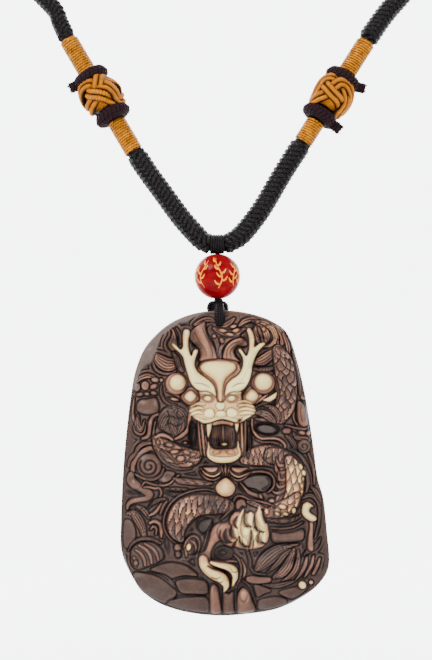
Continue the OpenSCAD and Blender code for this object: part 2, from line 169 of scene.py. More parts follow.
# Turns a bmesh into a finished piece that rides on its body
def makePiece(name, bm, material, body, replaced=(), merge=joinWithin):
    if merge:
        bmesh.ops.remove_doubles(bm, verts=bm.verts, dist=merge)
    bmesh.ops.recalc_face_normals(bm, faces=bm.faces)
    for face in bm.faces:
        face.smooth = True
    mesh = bpy.data.meshes.new(name)
    bm.to_mesh(mesh)
    bm.free()
    piece = bpy.data.objects.new(name, mesh)
    bpy.context.scene.collection.objects.link(piece)
    piece.data.materials.append(material)
    if body:
        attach(piece, body)
    if replaced:
        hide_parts(*replaced)
    print(name, len(mesh.polygons), "faces")
    return piece


# A point between b and c on the smooth curve through a, b, c and d
def curvePoint(a, b, c, d, t):
    return 0.5 * (2 * b + (c - a) * t + (2 * a - 5 * b + 4 * c - d) * t * t + (3 * b - a - 3 * c + d) * t ** 3)


# A smooth curve through points, as a dense row of points
def smooth(points, steps, closed=False):
    points = np.asarray(points, float)
    if closed:
        before, after, later = np.roll(points, 1, 0), np.roll(points, -1, 0), np.roll(points, -2, 0)
        here = points
    else:
        padded = np.vstack([points[:1], points, points[-1:]])
        before, here, after, later = padded[:-3], padded[1:-2], padded[2:-1], padded[3:]
    rows = [curvePoint(before, here, after, later, t) for t in np.arange(steps) / steps]
    made = np.stack(rows, 1).reshape(-1, points.shape[1])
    return made if closed else np.vstack([made, points[-1:]])


# The carved stone
stone = {
    "plate": 5.0, "tall": 1.0, "edgeDrop": 0.45, "holeWide": 1.9, "holeLift": 0.25, "drillLong": 30,
    "faceWide": 46, "faceTall": 66, "middleU": 1, "middleV": 34, "across": 252, "along": 370,
    "grooveWide": 0.32, "grooveDeep": 0.42, "soften": 0.13, "seamIn": 0.04, "seamWide": 0.22, "seamDark": 0.8,
    "groundTone": 0.17, "echoStep": 0.78, "echoReach": 2.7, "echoDeep": 0.3, "echoTall": 0.2,
    "grown": 1.01, "backBevel": 0.7, "backKeep": 0.972, "paleUp": 0.08,
}
spareReach = 2.4  # how far round a form its groove and the lines that follow it are laid
bare = 9.0  # distance to the nearest form where there is none
outline = [
    (-19, 7.2), (-16.5, 4.4), (-12.6, 2.1), (-7, 0.5), (0, -0.2), (7, 0.3), (13, 1.4), (18.5, 4),
    (22.6, 7.3), (24.6, 11.5), (24.1, 19), (23.3, 26.2), (22, 31), (20.9, 39), (19.2, 49.5), (17.3, 57.6),
    (15.3, 63.2), (12.4, 65.8), (8, 67.6), (2, 68.6), (-4.5, 68.2), (-9.6, 66.6),
    (-13.4, 64.1), (-16.9, 60.2), (-19, 55.2), (-20, 50), (-21, 42), (-21.8, 33), (-22.3, 22), (-22.1, 14),
]
corners = {"lowRight": 8, "topRight": 16, "topLeft": 22, "lowLeft": 30}


def rimPoint(k):
    points = np.asarray(outline, float)
    count = len(points)
    first = np.floor(k).astype(int)
    t = (k - first)[..., None]
    a, b, c, d = (points[(first + step) % count] for step in (-1, 0, 1, 2))
    return curvePoint(a, b, c, d, t)


# A point of the face from its shares across and along, stretched between the four sides
def facePoint(s, t):
    def side(start, end, share):
        return rimPoint(start + (end - start) * share)

    lowRight, topRight, topLeft, lowLeft = corners.values()
    low, high = side(0, lowRight, s), side(topLeft, topRight, s)
    left, right = side(lowLeft, topLeft, t), side(lowRight, topRight, t)
    s, t = s[..., None], t[..., None]
    corner = [rimPoint(np.array(float(k))) for k in (0, lowRight, topLeft, topRight)]
    sides = (1 - t) * low + t * high + (1 - s) * left + s * right
    return (sides - (1 - s) * (1 - t) * corner[0] - s * (1 - t) * corner[1]
            - (1 - s) * t * corner[2] - s * t * corner[3])


# A steady scatter from 0 to 1, as the hand leaves it
def unevenness(seed):
    scatter = np.sin(seed) * 43.7585
    return scatter - np.floor(scatter)


# Height, tone and groove darkness over the stone's face, laid on form by form as a carver would; the darkness in
# cuts, grooves and pits is stain together with painted shade
class Carving:
    def __init__(self, u, v):
        self.u, self.v = u, v
        self.base = np.zeros_like(u)
        self.high = np.zeros_like(u)
        self.tone = np.full_like(u, stone["groundTone"])
        self.dark = np.zeros_like(u)
        self.gap = np.full_like(u, bare)

    def near(self, low, high):
        inside = (self.u > low[0]) & (self.u < high[0]) & (self.v > low[1]) & (self.v < high[1])
        return np.nonzero(inside)[0]

    # Spots near a turned oval: u, v, two radii and its turn
    def nearOval(self, values):
        u, v, wide, tall, _ = values
        widest = max(wide, tall) + spareReach
        return self.near((u - widest, v - widest), (u + widest, v + widest))

    # Places along and across a turned oval, in shares of its radii
    def inOval(self, values, spot=slice(None)):
        u, v, wide, tall, turn = values
        cos, sin = math.cos(math.radians(turn)), math.sin(math.radians(turn))
        du, dv = self.u[spot] - u, self.v[spot] - v
        return (du * cos + dv * sin) / wide, (dv * cos - du * sin) / tall

    # Distance to a tapered chain: rows of u, v, half-width
    def chain(self, rows, spare=spareReach):
        widest = rows[:, 2].max() + spare
        spot = self.near(rows[:, :2].min(0) - widest, rows[:, :2].max(0) + widest)
        point = np.stack([self.u[spot], self.v[spot]], 1)[:, None, :]
        start, step = rows[:-1], np.diff(rows, axis=0)
        span = np.maximum((step[:, :2] ** 2).sum(1), 1e-9)
        share = np.clip(((point - start[None, :, :2]) * step[None, :, :2]).sum(2) / span, 0, 1)
        off = point - start[None, :, :2] - share[..., None] * step[None, :, :2]
        away = np.hypot(off[..., 0], off[..., 1])
        wide = start[None, :, 2] + share * step[None, :, 2]
        best = (away - wide).argmin(1)
        pick = (np.arange(len(spot)), best)
        turn = step[best, 0] * off[pick][:, 1] - step[best, 1] * off[pick][:, 0]
        run = np.concatenate([[0], np.cumsum(np.sqrt(span))])[best] + share[pick] * np.sqrt(span)[best]
        return {"spot": spot, "edge": (away - wide)[pick], "away": away[pick], "wide": wide[pick],
                "side": away[pick] * np.sign(turn), "run": run}

    # Distance to a closed shape: rows of u, v
    def closed(self, rows, spare=spareReach):
        spot = self.near(rows.min(0) - spare, rows.max(0) + spare)
        point = np.stack([self.u[spot], self.v[spot]], 1)[:, None, :]
        start, step = rows[None], (np.roll(rows, -1, 0) - rows)[None]
        span = np.maximum((step ** 2).sum(2), 1e-9)
        share = np.clip(((point - start) * step).sum(2) / span, 0, 1)
        off = point - start - share[..., None] * step
        away = np.hypot(off[..., 0], off[..., 1]).min(1)
        up, down = start[..., 1] <= point[..., 1], (start + step)[..., 1] <= point[..., 1]
        turn = step[..., 0] * (point - start)[..., 1] - step[..., 1] * (point - start)[..., 0]
        winds = (up & ~down & (turn > 0)).sum(1) - (~up & down & (turn < 0)).sum(1)
        return spot, np.where(winds != 0, -away, away)

    # Lays a raised form over what is there, with a cut groove round it; the groove and a line just inside the form's
    # edge are darkened, stain together with painted shade
    def lay(self, spot, edge, lift, tone, groove=1.0):
        ring = np.clip(1 - np.maximum(edge, 0) / stone["grooveWide"], 0, 1) * groove
        over = np.clip(0.5 - edge / (2 * stone["soften"]), 0, 1)
        seam = np.clip(1 - np.abs(edge + stone["seamIn"]) / stone["seamWide"], 0, 1) * groove
        under = self.high[spot] - stone["grooveDeep"] * ring ** 1.5
        self.high[spot] = under * (1 - over) + (self.base[spot] + lift) * over
        self.tone[spot] = self.tone[spot] * (1 - over) + tone * over
        keep = np.maximum(self.dark[spot], ring ** 0.8) * (1 - over)
        self.dark[spot] = np.maximum(keep, seam * stone["seamDark"])
        self.gap[spot] = np.minimum(self.gap[spot], edge)

    # A rounded chain of u, v, half-width; line cuts a groove along it
    def ridge(self, tone, lift, values, round=2.0, edge=0.4, groove=1.0, line=0.0):
        found = self.chain(smooth(np.reshape(values, (-1, 3)), 5))
        across = np.clip(1 + found["edge"] / np.maximum(found["wide"], 0.05), 0, 1)
        dome = np.sqrt(np.clip(1 - across ** round, 0, 1))
        shaded = tone * (1.06 - 0.4 * across ** 3)
        self.lay(found["spot"], found["edge"], lift * (edge + (1 - edge) * dome), shaded, groove)
        if line:
            near = np.clip(1 - np.abs(found["side"] / found["wide"] - line) * found["wide"] / 0.13, 0, 1)
            self.high[found["spot"]] -= 0.2 * near
            self.dark[found["spot"]] = np.maximum(self.dark[found["spot"]], 0.85 * near)

    # A closed shape of u, v with a rounded rim
    def patch(self, tone, lift, values, round=0.8, edge=0.45, groove=1.0):
        spot, away = self.closed(smooth(np.reshape(values, (-1, 2)), 5, closed=True))
        across = 1 - np.clip(-away / round, 0, 1)
        dome = np.sqrt(np.clip(1 - across ** 2, 0, 1))
        self.lay(spot, away, lift * (edge + (1 - edge) * dome), tone * (1.04 - 0.35 * across ** 2), groove)

    # A raised oval
    def ball(self, tone, lift, values, edge=0.3, groove=1.0):
        spot = self.nearOval(values)
        across = np.hypot(*self.inOval(values, spot))
        dome = np.sqrt(np.clip(1 - across ** 2, 0, 1))
        shaded = tone * (1.06 - 0.35 * np.clip(across, 0, 1) ** 4)
        self.lay(spot, (across - 1) * min(values[2:4]), lift * (edge + (1 - edge) * dome), shaded, groove)

    # A soft change of tone, as the stone's colour drifts
    def wash(self, change, values):
        along, across = self.inOval(values)
        self.tone += change * np.clip(1 - (along ** 2 + across ** 2), 0, 1) ** 1.5

    # A smooth floor cut back inside a rim
    def pit(self, tone, sink, values, black=0.0):
        spot = self.nearOval(values)
        edge = (np.hypot(*self.inOval(values, spot)) - 1) * min(values[2:4])
        over = np.clip(0.5 - edge / 0.3, 0, 1)
        self.high[spot] = self.high[spot] * (1 - over) + (self.base[spot] * 0.5 - sink) * over
        self.tone[spot] = self.tone[spot] * (1 - over) + tone * over
        rim = np.clip(1 - np.abs(edge + 0.1) / 0.32, 0, 1)
        self.dark[spot] = np.maximum(np.maximum(self.dark[spot] * (1 - over), rim * 0.9), over * black)
        self.gap[spot] = np.minimum(self.gap[spot], edge)

    # A cut line of u, v, half-width
    def cut(self, deep, values, black=None):
        found = self.chain(smooth(np.reshape(values, (-1, 3)), 5), spare=0.2)
        share = np.clip(1.2 * (1 - found["away"] / np.maximum(found["wide"] * 1.75, 0.05)), 0, 1)
        black = min(1, 0.45 + deep) if black is None else black
        self.high[found["spot"]] -= deep * share
        self.dark[found["spot"]] = np.maximum(self.dark[found["spot"]], share ** 0.7 * black)

    # A cut that winds inwards: u, v, outer and inner radius, start, turns, half-width
    def curl(self, deep, values):
        u, v, outer, inner, start, turns, wide = values
        angles = np.radians(start + np.linspace(0, 360 * turns, max(8, int(abs(turns) * 16))))
        reach = np.linspace(outer, inner, len(angles))
        rows = np.stack([u + reach * np.cos(angles), v + reach * np.sin(angles), np.full(len(angles), wide)], 1)
        self.cut(deep, rows)

    # Fine ridges that follow the forms' outlines over the bare ground between them
    def echo(self, plain):
        step = stone["echoStep"]
        wander = 0.12 * np.sin(1.1 * self.u + 0.5 * self.v) + 0.1 * np.sin(0.6 * self.u - 1.3 * self.v + 2)
        lane = (self.gap - 0.16 + wander * np.clip(self.gap - 0.3, 0, 1)) / step
        off = 2 * np.abs(lane - np.floor(lane) - 0.5)
        share = np.clip(self.gap / 0.4, 0, 1) * np.clip((stone["echoReach"] - self.gap) / 0.5, 0, 1) * (1 - plain)
        line = np.clip((off - 0.5) / 0.42, 0, 1) ** 1.3 * share
        self.high += (stone["echoTall"] * np.sqrt(np.clip(1 - off ** 2, 0, 1)) - stone["echoDeep"] * line) * share
        self.tone += 0.03 * (1 - off) * share
        self.dark = np.maximum(self.dark, 0.9 * line)

    # A band of fine side-by-side lines, as hair, flames and shells are cut
    def comb(self, tone, lift, values, rows=3, gap=0.5, groove=1.0):
        self.ridge(tone * 0.9, lift, values, edge=0.5, groove=groove)
        found = self.chain(smooth(np.reshape(values, (-1, 3)), 5), spare=0.0)
        inside = found["edge"] < -0.02
        spot, side = found["spot"][inside], (found["side"] / found["wide"])[inside]
        lane = (side * 0.98 + 1) / 2 * rows
        number = np.floor(lane)
        off = 2 * np.abs(lane - number - 0.5)
        hand = unevenness(12.9898 * number + 4.1 * rows + found["wide"][0])
        strength = np.clip(found["wide"][inside] / (0.1 * rows), 0, 1)
        line = np.clip((off - 1 + gap) / (0.8 * gap), 0, 1) ** 1.4 * strength
        self.high[spot] -= 0.32 * line
        self.tone[spot] = self.tone[spot] * (1.12 - 0.3 * line) * (0.82 + 0.36 * hand)
        self.dark[spot] = np.maximum(self.dark[spot], 0.95 * line)

    # Overlapping scales: each rises to its tip and stands over the next, with a painted shadow line past the tip; a
    # scale's tone is lighter at its tip and darker at its root under the scale above, painted highlight and painted
    # shade
    def scales(self, tone, lift, values, long=1.3, wide=1.2, aim=None, lean=0.3, point=1.6, wander=0.06,
               under=None, glow=None, deep=0.95, shy=0.25, seam=0.36):
        if under is not None:
            self.ridge(under, lift * 0.9, values, edge=0.6)
        found = self.chain(smooth(np.reshape(values, (-1, 3)), 6), spare=0.0)
        inside = found["edge"] < -0.02
        spot, side, half = found["spot"][inside], found["side"][inside], found["wide"][inside]
        u, v = self.u[spot], self.v[spot]
        wave = np.sin(1.9 * u + 0.7 * v + 0.6) + np.sin(0.8 * u - 1.7 * v)
        if aim is None:
            x, y = found["run"][inside] / long + lean * (np.abs(side) / half) ** 1.5, side / wide
        else:
            cos, sin = math.cos(math.radians(aim)), math.sin(math.radians(aim))
            x, y = (u * cos + v * sin) / long, (v * cos - u * sin) / wide
        x, y = x + wander * wave, y + wander * 0.8 * np.sin(1.3 * u + 1.1 * v)
        seen = []
        for parity in (0, 1):
            slot = y - 0.5 * parity
            off = slot - np.floor(slot) - 0.5
            start = x - 1.6 + 1.1 * np.abs(2 * off) ** point
            seen.append((np.ceil((start - parity) / 2) * 2 + parity, start, off, np.floor(slot)))
        first = seen[0][0] <= seen[1][0]
        row, start, off, column = (np.where(first, one, other) for one, other in zip(*seen))
        beside = np.where(first, seen[1][1], seen[0][1])
        behind = row - start
        past = np.minimum(beside - row + 1, start - row + 2)
        share = past / np.maximum(past + behind, 1e-6)
        hand = unevenness(12.9898 * row + 78.233 * column + 3.1)
        lip = np.clip(behind * long / 0.2, 0, 1)
        dome = 1 - 0.45 * (2 * off) ** 2
        rise = (shy + (1 - shy) * share) * dome * (0.5 + 0.5 * lip)
        line = np.clip(1 - past * long / seam, 0, 1) ** 0.7
        fade = np.clip((1 - np.abs(side) / half) / 0.16, 0, 1)
        if glow:
            tone = tone * (0.4 + 0.6 * np.exp(-((u - glow[0]) ** 2 + (v - glow[1]) ** 2) / glow[2] ** 2))
        self.high[spot] += (lift * rise * (0.8 + 0.4 * hand) - 0.16 * line) * fade
        fresh = tone * (0.36 + 0.78 * share ** 1.3 * dome) * (0.84 + 0.28 * hand)
        self.tone[spot] = self.tone[spot] * (1 - fade) + fresh * fade
        self.dark[spot] = np.maximum(self.dark[spot], line * deep * fade)


# Main swellings of the carving, the same as in the part's source: rows of u, v, half-width and height
forms = {
    "head": [
        [0, 55.4, 4.8, 2.3, 0.1, 52, 3.8, 2.6, 0.1, 48.8, 4.8, 2.9, 0.1, 46.6, 5.6, 3.1],
        [-6, 45.2, 1.9, 2.7, -2.6, 44.8, 2, 3.2, 0.3, 45.4, 2.2, 3.4, 3.2, 45, 2, 3.2, 6.6, 45.6, 1.9, 2.7],
        [0.1, 47.4, 1.7, 3.6], [-7, 54.6, 1.5, 2.8, -5.8, 52, 1.8, 3, -2.6, 50.6, 1.6, 3],
        [7, 54.6, 1.5, 2.8, 5.8, 52, 1.8, 3, 2.9, 50.6, 1.6, 3],
        [-2.3, 36.6, 1.6, 2.7, 0.8, 35.6, 1.8, 3, 4, 36.6, 1.6, 2.7],
        [-3.8, 43.4, 1.3, 2.3, -3.8, 37, 1.3, 2.1], [5.1, 43.4, 1.3, 2.3, 5.1, 37, 1.3, 2.1],
    ],
    "antler": [
        [-3.5, 51.5, 1.6, 2.6, -5.5, 53, 1.6, 2.6, -6.8, 56.5, 1.5, 2.5, -7.8, 61, 1.3, 2.3, -7.1, 64.2, 1.1, 2],
        [-7.9, 58.6, 1, 2.3, -10.6, 61.2, 0.8, 1.9], [-6.5, 57.3, 0.9, 2.3, -5.4, 59.6, 0.9, 2],
        [1.5, 51.5, 1.6, 2.6, 4.6, 53.6, 1.6, 2.6, 6.4, 57.3, 1.5, 2.5, 7.3, 61.6, 1.3, 2.3, 6.3, 64.5, 1.1, 2],
        [7.3, 59.4, 1, 2.3, 9.8, 61.4, 0.8, 1.9], [6, 57.9, 0.9, 2.3, 4.4, 59.8, 0.9, 2],
    ],
    "ear": [
        [-9.8, 52.3, 2.8, 2.5], [9.7, 52.6, 3.1, 2.6], [-6.6, 49.1, 1.8, 2.6], [7, 49.4, 2, 2.6],
        [9.6, 48.6, 1, 1.9, 12, 49.4, 1, 1.7],
    ],
    "coil": [
        [13.2, 59, 2.4, 1.6, 15, 54.4, 2.6, 1.8, 15.5, 50, 2.6, 1.8, 14.3, 46, 2.6, 1.8, 11.2, 43.8, 2.4, 1.6],
        [-10.4, 43.6, 3.8, 2.1],
        [-14.8, 40, 2.2, 1.7, -12.6, 36.8, 2.8, 1.9, -9.4, 34.8, 2.8, 1.9, -6, 35.4, 2.4, 1.7],
        [5.8, 35.6, 2.3, 1.6, 9.2, 36.8, 2.7, 1.9, 13, 36.2, 2.8, 2.1, 16, 33.5, 2.8, 2.3],
        [16, 33.5, 2.8, 2.3, 16.9, 30, 2.8, 2.4, 16, 26.4, 2.7, 2.3, 12.4, 23.6, 2.4, 2, 9, 22.6, 2.4, 2],
        [2, 24.6, 1.8, 1.5, -2, 25.6, 2.4, 1.8, -6, 25.2, 2.8, 2, -9.2, 22.6, 2.8, 2, -10, 19.4, 2.5, 1.8],
    ],
    "limb": [
        [4.8, 20.4, 3.6, 2.3, 7.8, 18.9, 4, 2.6], [0.6, 19.6, 2, 1.9, -1.9, 16.5, 2, 2, -3.5, 13.2, 2, 2.3],
        [-4, 12.8, 1.8, 2.5, -2.2, 10.4, 1.7, 2.7, 0, 8.6, 1.5, 2.6, 1.1, 6.6, 1.2, 2.2],
        [-0.8, 11.6, 1.1, 2.2, 1.8, 10.7, 1.2, 2.4, 3.3, 8.8, 1.1, 2.3, 3.1, 6.9, 0.9, 2],
        [19.2, 24.8, 1.6, 2.1, 19.2, 23, 1.4, 2.1, 20.7, 22.1, 1.2, 2.1],
        [20.3, 20.4, 1.2, 1.6, 20.5, 15, 1.2, 1.5], [-7, 16, 1.4, 1.9, -7.2, 13.8, 1.1, 1.7],
        [1.2, 28.7, 2.6, 2.4], [-2.4, 32, 1.2, 1.6, 1, 33, 1.3, 1.9, 4, 32, 1.2, 1.6],
    ],
    "cloud": [
        [-5, 65, 1.1, 1.3, -3.5, 62, 1.4, 1.6, -2.6, 58.5, 1.2, 1.5],
        [0.8, 58, 1.2, 1.5, 2, 61, 1.3, 1.5, 4.2, 62.4, 1.2, 1.3],
        [-15.4, 59.2, 1, 1.1, -13.4, 57, 1.5, 1.4, -11.4, 55.6, 1.3, 1.3],
        [8.6, 57.4, 1.3, 1.3, 12.4, 60.4, 1.3, 1.2], [8.6, 64, 1.4, 1.2, 11.6, 64, 1.6, 1.2],
        [-16.4, 51.8, 2.9, 1.4], [-16.2, 46.7, 2.6, 1.3], [-19.2, 44, 1, 0.9, -17.6, 41.4, 1.2, 1],
        [-15.4, 43, 1.2, 1.1, -16, 39.8, 1.1, 0.9], [-16.2, 33.6, 3.6, 1.4],
        [-19, 29.4, 1.2, 1.1, -15, 28.6, 1.5, 1.2, -18.6, 25.4, 1.5, 1.1],
        [-12, 29.6, 1.5, 1.2, -3, 29.6, 1.3, 1.1], [-19.6, 21.6, 1.5, 1.1, -17.4, 17.6, 1.5, 1.1],
        [-17, 12.8, 4, 1.9], [18.6, 46, 1.3, 1.3, 19, 39.6, 1.2, 1.2], [10.4, 41.8, 2.9, 1], [9, 29.7, 3, 1],
        [12.4, 17.8, 1.5, 1.2, 18.2, 17.9, 1.5, 1.2],
        [9.4, 11.4, 1.8, 1.4, 13, 13.2, 2, 1.6, 17.4, 14.6, 1.6, 1.4],
        [14.6, 9.4, 1.8, 1.3, 18.6, 11.4, 1.6, 1.4, 21.4, 12.4, 1.3, 1.2], [18.6, 6.9, 1.1, 1.6],
    ],
    "plate": [
        [-14.6, 7.6, 4.4, 0.9, -9.6, 9.4, 3, 0.9], [-7.6, 4, 4.4, 0.9, -5.6, 7.4, 3, 0.9],
        [-1.3, 1.2, 1.7, 1.1, -1.5, 5, 1.5, 1.2], [1.9, 1.2, 1.6, 1, 2, 4.6, 1.5, 1],
        [5.5, 1.4, 1.9, 1.3, 5.3, 4.6, 1.6, 1.5], [11, 3.4, 3.4, 0.9, 16.4, 5, 3, 0.9],
    ],
}
hollows = [
    [0.6, 42, 2.5, 2.6, 0.6, 38.8, 2.5, 2.4], [-6.3, 42, 1.2, 1.2, -6.1, 38, 1.2, 1],
    [6.5, 42, 1, 1, 6.4, 38, 1, 0.9], [-4.6, 21.4, 1.4, 1, -3.2, 18.6, 1.4, 1],
]


